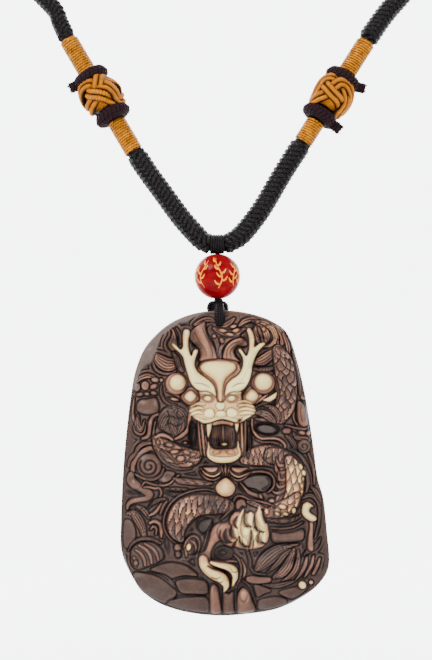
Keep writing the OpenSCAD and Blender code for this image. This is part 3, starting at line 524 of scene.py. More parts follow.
# The carver's strokes, in the order they are laid. Each row: kind, tone, lift over the swelling, and the measures
# of one stroke or more that share them. A pit has its sink for a lift; a cut and a curl have only a depth, and a
# wash only a change of tone.
# Measures: ridge, comb, scales and cut u, v, half-width; patch u, v; ball, pit and wash u, v, radii, turn
skyStrokes = [
    # leaves, hair and flames over the head
    ("comb", 0.24, 0.4, [-5.6, 65.4, 0.4, -4.2, 66.2, 0.6, -2.4, 66.6, 0.6, -1.2, 66.2, 0.3], {"rows": 2}),
    ("ridge", 0.2, 0.3, [-2, 65, 0.3, -2.4, 64.2, 0.5, -1.8, 63.2, 0.6, -1, 62, 0.6, -0.4, 60, 0.5, -0.2, 58, 0.5],
        {"line": 0.1}),
    ("patch", 0.4, 0.8, [-3.4, 66.1, -5.1, 65.2, -6.4, 64, -6.8, 62.4, -5.9, 61, -4.8, 60, -4.5, 58.6, -4.6, 57.2,
        -0.9, 57.4, -1, 59.4, -1.7, 61.1, -2.7, 62.7, -3.2, 64.4], {"round": 1.4}),
    ("cut", 0.2, [-3.9, 64.6, 0.08, -3.2, 62.8, 0.12, -2.2, 61, 0.12, -1.7, 59.2, 0.1, -1.6, 57.9, 0.08]),
    ("cut", 0.14, [-5.6, 63.6, 0.08, -4.8, 61.9, 0.1, -3.6, 60.2, 0.1, -3, 58.4, 0.08]),
    ("ridge", 0.24, 0.4, [0.2, 57.6, 0.3, 0.1, 59.6, 0.4, 1, 61.4, 0.45, 2.6, 62.5, 0.4, 4.4, 63, 0.3],
        {"line": 0.1}),
    ("patch", 0.4, 0.8, [0.9, 57.6, 0.8, 59.2, 1.7, 61, 3.4, 62.2, 5.2, 62.4, 6.2, 61, 5.4, 60.4, 4, 60.6, 3.2,
        59.6, 3.6, 58.2, 4.6, 57], {"round": 1.2}),
    ("cut", 0.2, [1.5, 58, 0.08, 1.6, 59.6, 0.12, 2.8, 61.1, 0.12, 4.6, 61.7, 0.08]),
    ("cut", 0.14, [2.4, 58, 0.08, 2.3, 59.4, 0.1, 3, 60.4, 0.08]),
    ("comb", 0.3, 0.45, [-1.4, 64.6, 0.3, 0, 63.9, 0.6, 1.8, 63.4, 0.8, 3.6, 63.5, 0.7, 5.4, 64.4, 0.4],
        {"rows": 3}),
    ("comb", 0.28, 0.4, [-0.9, 66, 0.2, 0.6, 65.2, 0.5, 2, 65.8, 0.6, 3.2, 66.8, 0.3], {"rows": 2}),
    ("ball", 0.42, 0.5, [0.6, 64.1, 1.1, 0.45, -10]),
    ("ball", 0.44, 0.5, [2.2, 63.2, 1.1, 0.45, -8]),
    ("ball", 0.4, 0.5, [3.6, 64.1, 1, 0.5, 15]),
    ("ball", 0.38, 0.45, [3, 65, 0.9, 0.45, 10]),
    ("ball", 0.32, 0.45, [-1.3, 62.8, 0.5, 0.5, 0]),
    ("ball", 0.3, 0.4, [0.4, 61.8, 0.55, 0.75, 20]),
    ("comb", 0.4, 0.45, [4.4, 65.2, 0.3, 5.4, 66.1, 0.6, 7, 66.6, 0.6, 8.4, 66.4, 0.4], {"rows": 2}),
    ("comb", 0.4, 0.45, [7.4, 66.2, 0.3, 8.8, 65.8, 0.7, 10.4, 65.4, 0.7, 11.4, 64.4, 0.5], {"rows": 3}),
    ("comb", 0.38, 0.4, [8, 64.9, 0.3, 7.8, 63.6, 0.6, 8.3, 62.4, 0.6, 8.6, 61.5, 0.4], {"rows": 3}),
    ("comb", 0.42, 0.45, [9.3, 65, 0.3, 10.2, 63.9, 0.7, 10.6, 62.6, 0.7, 10.4, 61.6, 0.4], {"rows": 3}),
    ("comb", 0.4, 0.45, [10.6, 65, 0.3, 12, 64.4, 0.8, 12.6, 63, 0.8, 12.3, 61.6, 0.6, 11.2, 60.7, 0.4, 9.6, 60.4,
        0.2], {"rows": 4}),
    ("comb", 0.4, 0.4, [12.6, 65.2, 0.3, 13.6, 64, 0.7, 14.2, 62.4, 0.7, 13.8, 60.8, 0.4], {"rows": 3}),
    ("comb", 0.38, 0.4, [14.2, 63.4, 0.3, 15, 61.6, 0.5, 15.4, 59.8, 0.5, 15.2, 58.4, 0.3], {"rows": 2}),
    ("ball", 0.32, 0.4, [8.5, 66, 0.6, 0.4, 20]),
    ("ball", 0.34, 0.4, [9.8, 64.4, 0.45, 0.6, 10]),
    ("comb", 0.34, 0.6, [8.2, 57, 0.7, 9.6, 57.4, 1.2, 11, 58.4, 1.1, 12.2, 59.4, 0.7, 12.9, 60.6, 0.4, 13.1, 61.9,
        0.1], {"rows": 4}),
    ("comb", 0.2, 0.4, [7.6, 55.5, 0.3, 9.6, 55.3, 0.5, 11.6, 55.5, 0.5, 12.8, 56.2, 0.3], {"rows": 3}),
    # flames and clouds left of the antlers
    ("patch", 0.32, 0.7, [-11.4, 65, -10.5, 64.3, -9.9, 63, -9.5, 61.6, -9.6, 60, -10.6, 59.4, -11.4, 60, -11.8,
        60.9, -11.5, 61.8, -11, 62.6, -10.8, 63.8], {"round": 0.6}),
    ("cut", 0.2, [-11, 64, 0.08, -10.4, 62.6, 0.12, -10.9, 61.4, 0.12, -11, 60.6, 0.08]),
    ("ridge", 0.2, 0.3, [-9.8, 64.6, 0.2, -9, 63.2, 0.3, -8.9, 61.2, 0.25]),
    ("comb", 0.34, 0.7, [-16.4, 59.5, 0.1, -14.9, 58.7, 0.5, -13.6, 57.4, 1.3, -12.2, 56.5, 1.6, -10.9, 56.4, 1.4,
        -10, 56.6, 0.8], {"rows": 5}),
    ("ridge", 0.22, 0.4, [-15.1, 57, 0.3, -14.4, 55.3, 0.4, -12.6, 54.4, 0.4, -10.8, 54.5, 0.3, -9.8, 55.2, 0.2]),
    ("comb", 0.26, 0.4, [-10.5, 59, 0.3, -9.7, 57.6, 0.6, -9.3, 56.2, 0.6, -8.5, 55, 0.4], {"rows": 3}),
    ("comb", 0.32, 0.5, [-19, 52.2, 0.3, -18, 53.3, 0.5, -16.4, 53.9, 0.6, -14.8, 53.6, 0.4], {"rows": 2}),
    ("ball", 0.36, 0.5, [-14.6, 53, 0.95, 0.6, -8]),
    ("ball", 0.3, 0.45, [-13.2, 52.9, 0.5, 0.5, 0]),
    ("ball", 0.3, 0.5, [-18.6, 51.3, 0.75, 1, -12]),
    ("ball", 0.36, 0.55, [-16.8, 51.7, 0.95, 1.1, 0]),
    ("ball", 0.32, 0.45, [-14.9, 51.5, 0.95, 0.6, 20]),
    ("ball", 0.26, 0.4, [-18, 49.7, 0.9, 0.5, 12]),
    ("ball", 0.28, 0.4, [-16.4, 49.8, 0.7, 0.45, -8]),
    ("ball", 0.26, 0.4, [-14.9, 50, 0.8, 0.5, -14]),
    ("ridge", 0.22, 0.4, [-13.2, 51.6, 0.25, -13.2, 49.9, 0.35, -12.5, 48.3, 0.35, -11.2, 47.4, 0.3, -9.8, 47.3,
        0.2], {"line": 0.1}),
    ("patch", 0.24, 0.6, [-18.7, 47.5, -17.9, 48.5, -16.2, 48.7, -14.6, 49, -13.9, 47.9, -13.7, 46.5, -14.2, 45.5,
        -15.8, 45.2, -17.3, 45.3, -18.6, 46], {"round": 1.2}),
    ("ridge", 0.28, 0.4, [-19.3, 49, 0.15, -19.5, 47.2, 0.3, -19.6, 45.4, 0.35, -19.3, 43.9, 0.35, -18.9, 42.9,
        0.2]),
    ("comb", 0.28, 0.45, [-18.4, 45, 0.3, -18.6, 43.4, 0.6, -18.2, 41.9, 0.8, -17.4, 42.4, 0.4, -17, 43.8, 0.2],
        {"rows": 3}),
    ("ridge", 0.24, 0.4, [-19.4, 42.6, 0.2, -19, 41.3, 0.35, -18, 40.7, 0.35, -17, 41.2, 0.3, -16.7, 42.8, 0.2]),
    ("ridge", 0.28, 0.5, [-13.4, 45.3, 0.35, -14.8, 44.9, 0.45, -15.6, 43.7, 0.5, -15.8, 42, 0.5, -16.2, 40.4, 0.5,
        -17.4, 39.8, 0.4]),
    ("ridge", 0.16, 0.3, [-14.5, 43.6, 0.25, -14.9, 41.6, 0.3, -15, 39.4, 0.25]),
    ("comb", 0.26, 0.4, [-13.6, 44.4, 0.2, -12.6, 46, 0.45, -11.2, 47, 0.3], {"rows": 2}),
    # clouds left of the body
    ("ridge", 0.28, 0.45, [-20.6, 33.6, 0.35, -20, 35.3, 0.5, -18.9, 36.4, 0.5, -18.4, 37.6, 0.5, -17.2, 38.5, 0.5,
        -15.4, 38.8, 0.3], {"line": 0.2}),
    ("ridge", 0.34, 0.5, [-19.6, 32.2, 0.55, -19.5, 34, 0.6, -18.4, 35.6, 0.6, -17.4, 36.8, 0.65, -15.8, 37.6, 0.6,
        -14.8, 37.4, 0.4]),
    ("patch", 0.24, 0.55, [-13.9, 30.4, -13, 31.7, -12, 32.5, -10.2, 32.2, -10.3, 31.3, -11.4, 30.2, -12.8, 29.9],
        {"round": 0.5}),
    ("ball", 0.26, 0.6, [-15.9, 33.7, 2.8, 2.8, 0]),
    ("curl", 0.4, [-15.9, 33.6, 2.2, 0.4, 150, 1.7, 0.22]),
    ("ridge", 0.28, 0.45, [-19.2, 31.8, 0.3, -17.4, 30.9, 0.4, -15.2, 30.6, 0.45, -13.4, 31.5, 0.4, -12.7, 33, 0.3],
        {"line": 0.2}),
    ("ridge", 0.3, 0.6, [-20, 31.6, 0.75, -20, 30.4, 1.05, -19, 29.4, 1.1, -17.8, 28.5, 0.8, -16.6, 27.9, 0.9,
        -15.8, 27.2, 0.9, -16.4, 26.4, 0.7, -18, 26.1, 0.6, -19.6, 25.8, 0.6, -20.6, 25, 0.5, -20.8, 24, 0.3],
        {"round": 3}),
    ("pit", 0.02, 0.1, [-19.2, 27.6, 1.5, 0.45, -12]),
    ("ridge", 0.32, 0.45, [-17.5, 29.2, 0.22, -16.8, 30, 0.3, -15.4, 29.6, 0.28, -13.6, 29.2, 0.28, -12, 29.4, 0.28,
        -10.9, 30, 0.3, -10, 31, 0.3, -9.2, 31.5, 0.25]),
    ("ridge", 0.36, 0.45, [-17.2, 28.9, 0.2, -15.9, 28.9, 0.3, -14.6, 28.6, 0.35, -13.6, 28.6, 0.35, -13.2, 27.6,
        0.35, -13.5, 26.7, 0.25]),
    ("comb", 0.24, 0.45, [-10.6, 30.9, 0.2, -9.2, 30.4, 0.6, -7.8, 30.2, 0.7, -6, 30, 0.65, -4, 29.8, 0.6, -1.8,
        29.6, 0.3], {"rows": 3, "gap": 0.4}),
    ("comb", 0.24, 0.4, [-12.4, 28.6, 0.2, -10, 28.4, 0.4, -7.4, 28.3, 0.3], {"rows": 2}),
    ("comb", 0.22, 0.35, [-12.2, 27.6, 0.2, -10.4, 27.2, 0.4, -8.8, 27.4, 0.2], {"rows": 2}),
    ("patch", 0.24, 0.5, [-21.6, 21, -20.4, 21.6, -19.4, 20.6, -18.9, 18.6, -19.2, 16.4, -20.4, 15.2, -21.6, 15.8],
        {"round": 0.9}),
    ("comb", 0.34, 0.5, [-20.9, 22.9, 0.3, -19.4, 22.9, 0.8, -18.2, 21.3, 1, -17.4, 19.6, 0.8, -17, 17.8, 0.5],
        {"rows": 4}),
    ("comb", 0.32, 0.45, [-19.4, 24.7, 0.2, -17.9, 24.2, 0.5, -16.8, 23.2, 0.6, -16, 22, 0.4], {"rows": 2}),
    ("comb", 0.28, 0.4, [-16, 24.2, 0.2, -14.9, 25.4, 0.45, -13.3, 26, 0.4, -12, 26.1, 0.2], {"rows": 2}),
    ("ridge", 0.36, 0.5, [-16, 22.4, 0.25, -14.9, 22.9, 0.4, -14, 23.8, 0.45, -13.2, 25, 0.35]),
    ("ridge", 0.24, 0.4, [-13.4, 22.9, 0.3, -12.8, 24.4, 0.4, -12, 25.6, 0.3]),
    ("ridge", 0.38, 0.5, [-15.8, 20.7, 0.35, -14.6, 21.1, 0.45, -13.5, 20.4, 0.5, -13.2, 18.9, 0.5, -13.2, 17.6,
        0.3]),
    ("ridge", 0.3, 0.45, [-15.6, 19.3, 0.25, -15, 20, 0.35, -14.3, 19.4, 0.35, -14.4, 18.2, 0.25]),
    ("pit", -0.05, 0.2, [-12, 16.2, 0.5, 1.7, 8]),
    ("ridge", 0.26, 0.4, [-20.6, 14.6, 0.2, -19.6, 16.2, 0.35, -17.8, 17.2, 0.4, -15.4, 17.1, 0.4, -13.4, 16.2,
        0.3], {"line": 0.1}),
    ("patch", 0.16, 0.6, [-20, 13, -19.9, 14.7, -18.8, 16, -16.9, 16.6, -14.8, 16.3, -13.3, 15.1, -12.6, 13.4,
        -13.4, 12.3, -16, 11.2, -18.5, 10.4, -19.7, 11.4], {"round": 0.8}),
    ("ridge", 0.44, 0.45, [-18.9, 14.8, 0.3, -17.8, 14.1, 0.42, -17, 12.8, 0.42, -16.8, 11.4, 0.3]),
    ("ridge", 0.46, 0.45, [-18.2, 15.8, 0.3, -16.6, 14.9, 0.42, -15.6, 13.4, 0.42, -15.3, 11.9, 0.3]),
    ("ridge", 0.42, 0.45, [-16.9, 16.2, 0.3, -15.2, 15.2, 0.42, -14.2, 13.8, 0.42, -13.8, 12.4, 0.3]),
    ("ridge", 0.4, 0.4, [-19.4, 13.2, 0.3, -18.9, 12.4, 0.45, -18.9, 11.2, 0.4]),
    ("ball", 0.4, 0.3, [-18.9, 11.9, 0.6, 0.7, 0]),
    # right-hand border
    ("patch", 0.38, 0.6, [17.4, 48.2, 18.7, 47.6, 19.2, 45.4, 19.7, 43.2, 19, 42.4, 17.8, 43.1, 17.3, 45],
        {"round": 0.8}),
    ("cut", 0.2, [18.2, 47, 0.08, 18.1, 45.4, 0.12, 18.5, 43.6, 0.1]),
    ("ridge", 0.34, 0.4, [16.8, 48.6, 0.2, 16.6, 46.4, 0.3, 16.6, 44.4, 0.3, 17.4, 42.8, 0.25]),
    ("ridge", 0.3, 0.4, [14.6, 42.8, 0.2, 16.6, 42.3, 0.3, 18.6, 41.9, 0.3, 19.9, 42.4, 0.2]),
    ("ball", 0.3, 0.45, [15, 41.5, 1.1, 0.75, 0]),
    ("ball", 0.38, 0.45, [18.4, 41.1, 0.9, 0.5, -15]),
    ("ball", 0.36, 0.45, [19.9, 41, 0.6, 0.6, 0]),
    ("comb", 0.26, 0.4, [16.6, 40.9, 0.3, 17.4, 39.9, 0.5, 19, 39.8, 0.5, 20.2, 39.2, 0.3], {"rows": 2}),
    ("ball", 0.24, 0.5, [18.9, 38, 1.5, 1.6, 0]),
    ("curl", 0.25, [18.9, 38, 1.1, 0.3, 200, 1.1, 0.12]),
    ("comb", 0.2, 0.4, [14.9, 40.4, 0.3, 16, 39.4, 0.6, 16.8, 38.2, 0.6, 17, 36.8, 0.3], {"rows": 3}),
    ("ridge", 0.4, 0.4, [18.3, 49.8, 0.3, 18.5, 48.9, 0.4, 19.2, 48.7, 0.3]),
    ("ridge", 0.22, 0.4, [19.9, 36.4, 0.3, 21, 33, 0.35, 21.2, 29.6, 0.3]),
]
waterStrokes = [
    # plates of rock and petals at the bottom
    ("patch", 0.2, 0.55, [-15.7, 10.3, -13.4, 11.5, -10.4, 11.9, -7.4, 11.1, -5, 9.2, -6, 8.8, -8.6, 8.9, -10.5,
        8.3, -12.4, 9.3]),
    ("patch", 0.22, 0.6, [-19.4, 9.6, -16.8, 9.6, -13.8, 8.7, -11.3, 6.8, -9.7, 5, -12, 2.7, -15.8, 4.3, -18.8,
        7.2]),
    ("patch", 0.22, 0.55, [-10, 7.4, -8.5, 8.2, -5.6, 8.2, -3, 7.6, -2.8, 5, -5.8, 4.9, -8.9, 5.2]),
    ("patch", 0.2, 0.55, [-12, 2.6, -9.4, 3.9, -6.4, 4.2, -2.9, 3.9, -2.5, 0.7, -7, 1.1]),
    ("cut", 0.3, [-11, 8.1, 0.08, -9.4, 8.8, 0.12, -6.6, 8.9, 0.12, -3.6, 8.4, 0.1], [-10.8, 8, 0.08, -9.8, 6.8,
        0.12, -9.1, 5.2, 0.1], [-11.8, 3.4, 0.08, -9.2, 4.5, 0.12, -5.8, 4.6, 0.12, -3, 4.4, 0.1], [-16.4, 10, 0.1,
        -13.6, 9.3, 0.12, -11.6, 7.9, 0.1]),
    ("patch", 0.42, 0.65, [-2.3, 5.6, -1.8, 6.9, -0.9, 6.9, -0.3, 6, 0, 3.6, 0.3, 0.6, -2.1, 0.6, -2.3, 3]),
    ("patch", 0.24, 0.5, [0.7, 5.3, 1.8, 5, 3, 5.4, 3.2, 2.6, 3.2, 0.6, 0.8, 0.6, 0.6, 3]),
    ("patch", 0.38, 0.75, [3.9, 4.2, 4.5, 5.8, 5.3, 6.3, 6.3, 5.5, 7.1, 3.8, 7.9, 0.9, 3.8, 0.6], {"round": 1.3}),
    ("ball", 0.62, 0.15, [5.3, 4.5, 1, 1.4, 0], {"groove": 0.0, "edge": 0.0}),
    ("ridge", 0.2, 0.4, [5.2, 7.8, 0.2, 6.7, 6.4, 0.22, 7.6, 4.2, 0.22, 8.5, 1.4, 0.2], [3.9, 7.2, 0.15, 3.5, 5.4,
        0.2, 3.5, 3, 0.2, 3.6, 0.6, 0.15]),
    ("patch", 0.2, 0.5, [8.5, 3.2, 10.4, 4, 12.8, 4.3, 15, 3.6, 14, 2.2, 9, 1.3]),
    ("patch", 0.22, 0.5, [7.6, 6.9, 9.6, 6.6, 11.6, 5.6, 10, 4.9, 8.3, 4.2]),
    ("patch", 0.2, 0.5, [13.2, 5.2, 16, 6.3, 19.8, 6.6, 18.2, 4.8, 15.8, 3.8]),
    ("comb", 0.2, 0.4, [9.6, 6.9, 0.2, 12.4, 6.6, 0.5, 15, 7.2, 0.5, 17, 7.8, 0.2], {"rows": 2}),
    # panel, leaves and ridges at the right
    ("patch", 0.24, 0.6, [11.6, 18.8, 14, 18.5, 16.4, 18.8, 18.6, 19.4, 19, 18.2, 18.3, 16.9, 15, 16.4, 12, 16.5],
        {"round": 1.2}),
    ("ridge", 0.26, 0.4, [11.3, 19.7, 0.2, 14, 19.5, 0.3, 16.6, 19.9, 0.3, 18.6, 20.9, 0.2]),
    ("comb", 0.26, 0.6, [8, 10, 0.3, 9, 11.2, 1.1, 10.8, 13, 1.6, 13, 14.6, 1.3, 15.4, 15.6, 0.6, 17.6, 16, 0.2],
        {"rows": 5}),
    ("comb", 0.26, 0.5, [10.6, 9.7, 0.2, 12.6, 11.4, 0.6, 14.2, 13.4, 0.6, 15.8, 14.8, 0.3], {"rows": 2}),
    ("comb", 0.34, 0.6, [12.2, 8.6, 0.4, 13.8, 9.6, 1, 15.2, 11.2, 1.1, 16, 13.2, 0.8, 16.6, 15, 0.3], {"rows": 4}),
    ("comb", 0.36, 0.5, [14, 7.9, 0.2, 15.6, 8.8, 0.5, 17, 10.6, 0.6, 17.6, 12.8, 0.5, 17.6, 14.8, 0.2],
        {"rows": 2}),
    ("ridge", 0.34, 0.5, [19.5, 13, 0.35, 19, 11.1, 0.5, 18, 9.2, 0.4, 17, 8, 0.2]),
    ("ridge", 0.38, 0.5, [21, 13.4, 0.3, 20.5, 11.3, 0.45, 19.6, 9.6, 0.4, 19, 8.6, 0.2]),
    ("ridge", 0.34, 0.5, [22.4, 12.8, 0.3, 21.8, 11, 0.45, 21, 9.4, 0.4]),
    ("comb", 0.22, 0.4, [22.6, 17.4, 0.2, 21.6, 15.6, 0.5, 19.8, 14.4, 0.5, 19, 13.6, 0.3], {"rows": 2}),
    ("patch", 0.38, 0.55, [6, 8.6, 7.4, 8.9, 9, 8.7, 11.2, 8.6, 11.6, 7.8, 10.6, 7.2, 8.2, 7, 6.4, 7.3, 5.8, 7.9],
        {"round": 0.7}),
    ("ridge", 0.22, 0.45, [6, 15, 0.3, 6.7, 12.8, 0.35, 6.9, 10.9, 0.35, 8, 9.5, 0.3, 10.2, 9.2, 0.3],
        {"line": 0.1}),
    ("ball", 0.92, 0.7, [18.5, 6.9, 0.95, 0.95, 0]),
    ("ball", 0.62, 0.5, [20.5, 7.4, 0.55, 0.55, 0]),
]
bodyStrokes = [
    # coil at the upper right, netted with scales
    ("ridge", 0.22, 0.4, [16.4, 59.4, 0.3, 17, 56.4, 0.4, 17.7, 52.6, 0.4, 18, 49.8, 0.3], {"line": 0.1}),
    ("scales", 0.44, 0.5, [13, 59.6, 1.3, 14.2, 56.8, 2.2, 14.8, 53.4, 2.4, 15, 50, 2.3, 14.6, 47, 2.2, 13.6, 44.6,
        1.5],
        {"long": 1.3, "wide": 1.8, "point": 1.2, "under": 0.1, "lean": 0.0, "wander": 0.22, "seam": 0.54,
         "deep": 1.0}),
    ("wash", -0.06, [14.6, 52, 2.4, 8, 0]),
    ("comb", 0.26, 0.4, [12.1, 54, 0.25, 12.7, 51.6, 0.4, 13, 49.4, 0.4, 12.6, 47.8, 0.25], {"rows": 2}),
    ("comb", 0.28, 0.5, [9.6, 47.4, 0.2, 11, 47, 0.5, 12.3, 46.1, 0.7, 13.2, 44.7, 0.6, 13, 43.5, 0.3],
        {"rows": 3}),
    ("comb", 0.24, 0.5, [8.2, 45.6, 0.4, 9.4, 45.5, 0.8, 10.8, 44.9, 0.9, 12, 43.7, 0.6], {"rows": 3}),
    ("ridge", 0.18, 0.4, [8.1, 44.2, 0.3, 9.4, 44, 0.45, 10.8, 43.4, 0.3]),
    ("comb", 0.34, 0.45, [7.4, 46.2, 0.15, 8.6, 47.2, 0.3, 10.4, 47.8, 0.3, 12.2, 48, 0.15], {"rows": 2}),
    # boss at the left with cut hair
    ("ball", 0.16, 0.5, [-10.6, 43.9, 3.4, 3.1, 0]),
    ("comb", 0.22, 0.35, [-10.3, 46.5, 0.7, -8.8, 45.6, 1.1, -7.9, 44.2, 0.9], [-10.9, 46, 0.6, -12, 44.4, 1.1,
        -12.9, 42.7, 0.9], {"rows": 4, "groove": 0.6}),
    ("comb", 0.26, 0.35, [-10.6, 44.4, 0.5, -10.6, 42.9, 1, -10, 41.3, 0.9], {"rows": 4, "groove": 0.6}),
    ("comb", 0.24, 0.3, [-8.5, 43.7, 0.5, -8.6, 42.4, 0.7, -9.1, 41.3, 0.5], {"rows": 2, "groove": 0.6}),
    ("cut", 0.3, [-12.6, 44.4, 0.1, -11.2, 44.9, 0.2, -9.6, 44.3, 0.2, -8.2, 44.8, 0.1], [-12.2, 42.8, 0.1, -11.2,
        43.3, 0.2, -10, 42.7, 0.2, -8.4, 43.2, 0.1], [-11.8, 46, 0.1, -11.4, 44.9, 0.18, -11.7, 43.6, 0.18, -11.2,
        42.2, 0.1], [-9.4, 46.4, 0.1, -9.7, 45.2, 0.18, -9.3, 44, 0.18, -9.7, 42, 0.1]),
    ("wash", -0.05, [-10.5, 44, 3, 3, 0]),
    ("ridge", 0.36, 0.55, [-7.1, 47.5, 0.2, -6.7, 45.8, 0.35, -6.9, 44, 0.45, -6.9, 42.6, 0.55, -7.6, 41.3, 0.5,
        -8.8, 40.3, 0.5, -10.2, 39.6, 0.3]),
    # coil under it
    ("ridge", 0.18, 0.5, [-14.4, 39.8, 0.9, -13.2, 38.2, 1.9, -11.4, 36.7, 2.5, -8.8, 35.6, 2.5, -6.2, 35.6, 1.9,
        -4.8, 36.2, 1]),
    ("scales", 0.44, 0.5, [-14.4, 39.8, 0.8, -13.2, 38.2, 1.8, -11.4, 36.7, 2.4, -8.8, 35.6, 2.4, -6.2, 35.6, 1.8,
        -4.8, 36.2, 0.9],
        {"long": 1.4, "wide": 1.6, "point": 1.3, "lean": 0.2, "wander": 0.18, "under": 0.12, "deep": 1.0,
         "seam": 0.52}),
    ("wash", -0.06, [-10, 36.6, 5, 3, 0]),
    ("ridge", 0.46, 0.5, [-14.6, 40, 0.25, -13.3, 40.6, 0.5, -11.8, 40.2, 0.5, -10.6, 39.4, 0.3]),
    ("ball", 0.48, 0.4, [-11.4, 38.4, 1, 0.5, -12]),
    ("ball", 0.56, 0.45, [-10.2, 36.9, 1.2, 0.5, 6]),
    ("ball", 0.54, 0.45, [-8.8, 35.4, 1, 0.75, 0]),
    ("ball", 0.5, 0.4, [-7.5, 36.7, 0.95, 0.5, -24]),
    ("ball", 0.46, 0.35, [-13.9, 39, 0.5, 0.65, 10]),
    ("ball", 0.4, 0.35, [-7.8, 38.8, 0.6, 0.35, 0]),
    ("ridge", 0.36, 0.4, [-13, 37.3, 0.2, -11.6, 36.4, 0.28, -10.5, 35.2, 0.28, -9.6, 34.2, 0.2]),
    ("ridge", 0.28, 0.4, [-14.3, 37.2, 0.2, -13.2, 35.2, 0.35, -11.2, 33.7, 0.35, -8.8, 33, 0.3, -6.4, 33.2, 0.2],
        {"line": 0.1}),
    # rim and curl at the right of the jaw
    ("ridge", 0.42, 0.5, [7.2, 44.2, 0.25, 7.2, 42.4, 0.35, 7.9, 40.8, 0.35, 9.2, 39.8, 0.35, 11, 39.8, 0.35, 12.8,
        39.7, 0.35, 14, 39.1, 0.35, 14.7, 38.1, 0.35, 14.1, 37.2, 0.35, 13.3, 37.4, 0.3]),
    ("ridge", 0.26, 0.4, [8, 39.6, 0.2, 9.6, 39, 0.25, 11.6, 39, 0.25, 13.2, 38.6, 0.2]),
    ("pit", -0.12, 0.45, [10.5, 42, 3, 1.6, -6]),
    ("ball", -0.24, -0.1, [10.5, 41.9, 2.3, 0.95, -8], {"edge": 0.6}),
    # great coil at the right
    ("ridge", 0.24, 0.4, [16, 37.4, 0.25, 18, 36, 0.4, 19.4, 34, 0.4, 20.3, 31.4, 0.4, 20.6, 28.6, 0.3],
        {"line": 0.1}),
    ("ridge", 0.2, 0.4, [19, 33.2, 0.4, 19.6, 31.4, 0.5, 19.8, 29.6, 0.5, 19.4, 27.8, 0.3]),
    ("scales", 0.54, 0.55, [5.6, 35.2, 1.2, 8, 35.8, 2.1, 10.8, 36, 2.4, 13.4, 35.4, 2.4],
        {"long": 2, "wide": 1.1, "point": 1.2, "aim": -86, "under": 0.16, "deep": 1.0, "seam": 0.46}),
    ("ridge", 0.22, 0.5, [12.4, 35.6, 1.8, 15.2, 34.4, 2.3, 16.4, 31.8, 2.6, 16.2, 28.6, 2.6, 15.2, 25.6, 2.4, 12.6,
        23, 2, 10.6, 22.6, 1.6]),
    ("scales", 0.46, 0.5, [11.6, 36, 1.9, 13.4, 35.7, 2, 15, 34.6, 2.1, 15.7, 32, 2.3, 15.5, 28.8, 2.3, 14.4, 26, 2,
        12.6, 23.4, 1.6],
        {"long": 2, "wide": 1.4, "point": 1.3, "aim": -112, "under": 0.12, "deep": 1.0, "seam": 0.52,
         "wander": 0.14}),
    ("ridge", 0.5, 0.4, [12.6, 35.6, 0.2, 13.2, 33.9, 0.45, 14.4, 34, 0.4, 15, 34.6, 0.2]),
    ("ridge", 0.46, 0.4, [12.4, 34.2, 0.2, 12.9, 32.4, 0.45, 14.2, 32.2, 0.45, 15, 33, 0.2]),
    ("ridge", 0.44, 0.4, [13.2, 32.2, 0.2, 13.4, 30.6, 0.4, 14.4, 30.6, 0.4, 15, 31.6, 0.2]),
    ("ridge", 0.42, 0.4, [12.6, 30, 0.2, 13.2, 28.9, 0.4, 14.4, 29.2, 0.4, 15, 30, 0.2]),
    ("ridge", 0.4, 0.4, [11.6, 28.2, 0.2, 12.6, 27.5, 0.4, 14, 27.9, 0.4, 14.8, 28.8, 0.2]),
    ("scales", 0.98, 0.6, [15.6, 35, 1.2, 16.5, 33, 1.8, 16.8, 30.6, 2, 16.7, 28, 2, 16, 25.6, 2],
        {"long": 2.2, "wide": 1.6, "point": 1.5, "aim": -98, "under": 0.66, "deep": 0.6, "shy": 0.5}),
    ("wash", -0.34, [16, 36, 3.4, 3.2, 0]),
    ("wash", -0.1, [14.4, 26.5, 1.6, 3, -20]),
    ("ball", 0.92, 0.5, [18.1, 33.5, 0.5, 0.8, 20], {"groove": 0.6}),
    ("ball", 0.96, 0.5, [18.8, 32.1, 0.5, 0.8, 15], {"groove": 0.6}),
    ("ball", 0.6, 0.5, [18.6, 30.8, 0.4, 0.6, 0], {"groove": 0.8}),
    ("ball", 0.8, 0.5, [18.3, 29.3, 0.4, 0.7, 0], {"groove": 0.8}),
    ("ball", 0.7, 0.5, [18.3, 27.9, 0.45, 0.5, 0], {"groove": 0.8}),
    ("scales", 0.86, 0.5, [17.2, 27, 1, 15.8, 25.2, 1.7, 14.2, 24.2, 1.9, 12.2, 23.4, 1.5, 10.4, 23, 0.8],
        {"long": 1.7, "wide": 1.7, "point": 1.6, "aim": -118, "under": 0.3, "glow": [15.8, 25.6, 4.2],
         "deep": 0.9}),
    ("ball", 0.86, 0.5, [14, 24.6, 1, 0.6, -14], {"groove": 0.8}),
    ("ball", 0.84, 0.5, [14.7, 22.9, 0.8, 0.45, -20], {"groove": 0.8}),
    ("ball", 0.8, 0.5, [12.8, 23, 0.7, 0.45, -30], {"groove": 0.8}),
    ("ball", 0.78, 0.5, [10.4, 23.6, 0.5, 0.85, 20], {"groove": 0.8}),
    ("ball", 0.86, 0.5, [16.6, 23.6, 0.55, 0.8, 0], {"groove": 0.8}),
    ("comb", 0.26, 0.4, [9.8, 22, 0.2, 12, 21.4, 0.5, 14.4, 21.2, 0.6, 17, 21.8, 0.5, 18.2, 22.6, 0.2],
        {"rows": 3}),
    ("pit", -0.1, 0.3, [8.2, 29.6, 4.2, 2.3, 8]),
    ("patch", -0.2, 0.1, [4.5, 30.5, 6.4, 31, 8.4, 31.5, 10.4, 31.4, 11.5, 30.6, 11.6, 29.4, 10.7, 28.2, 9.3, 27.8,
        7.8, 28.5, 6.2, 28.8, 5.4, 29.6], {"round": 1.2}),
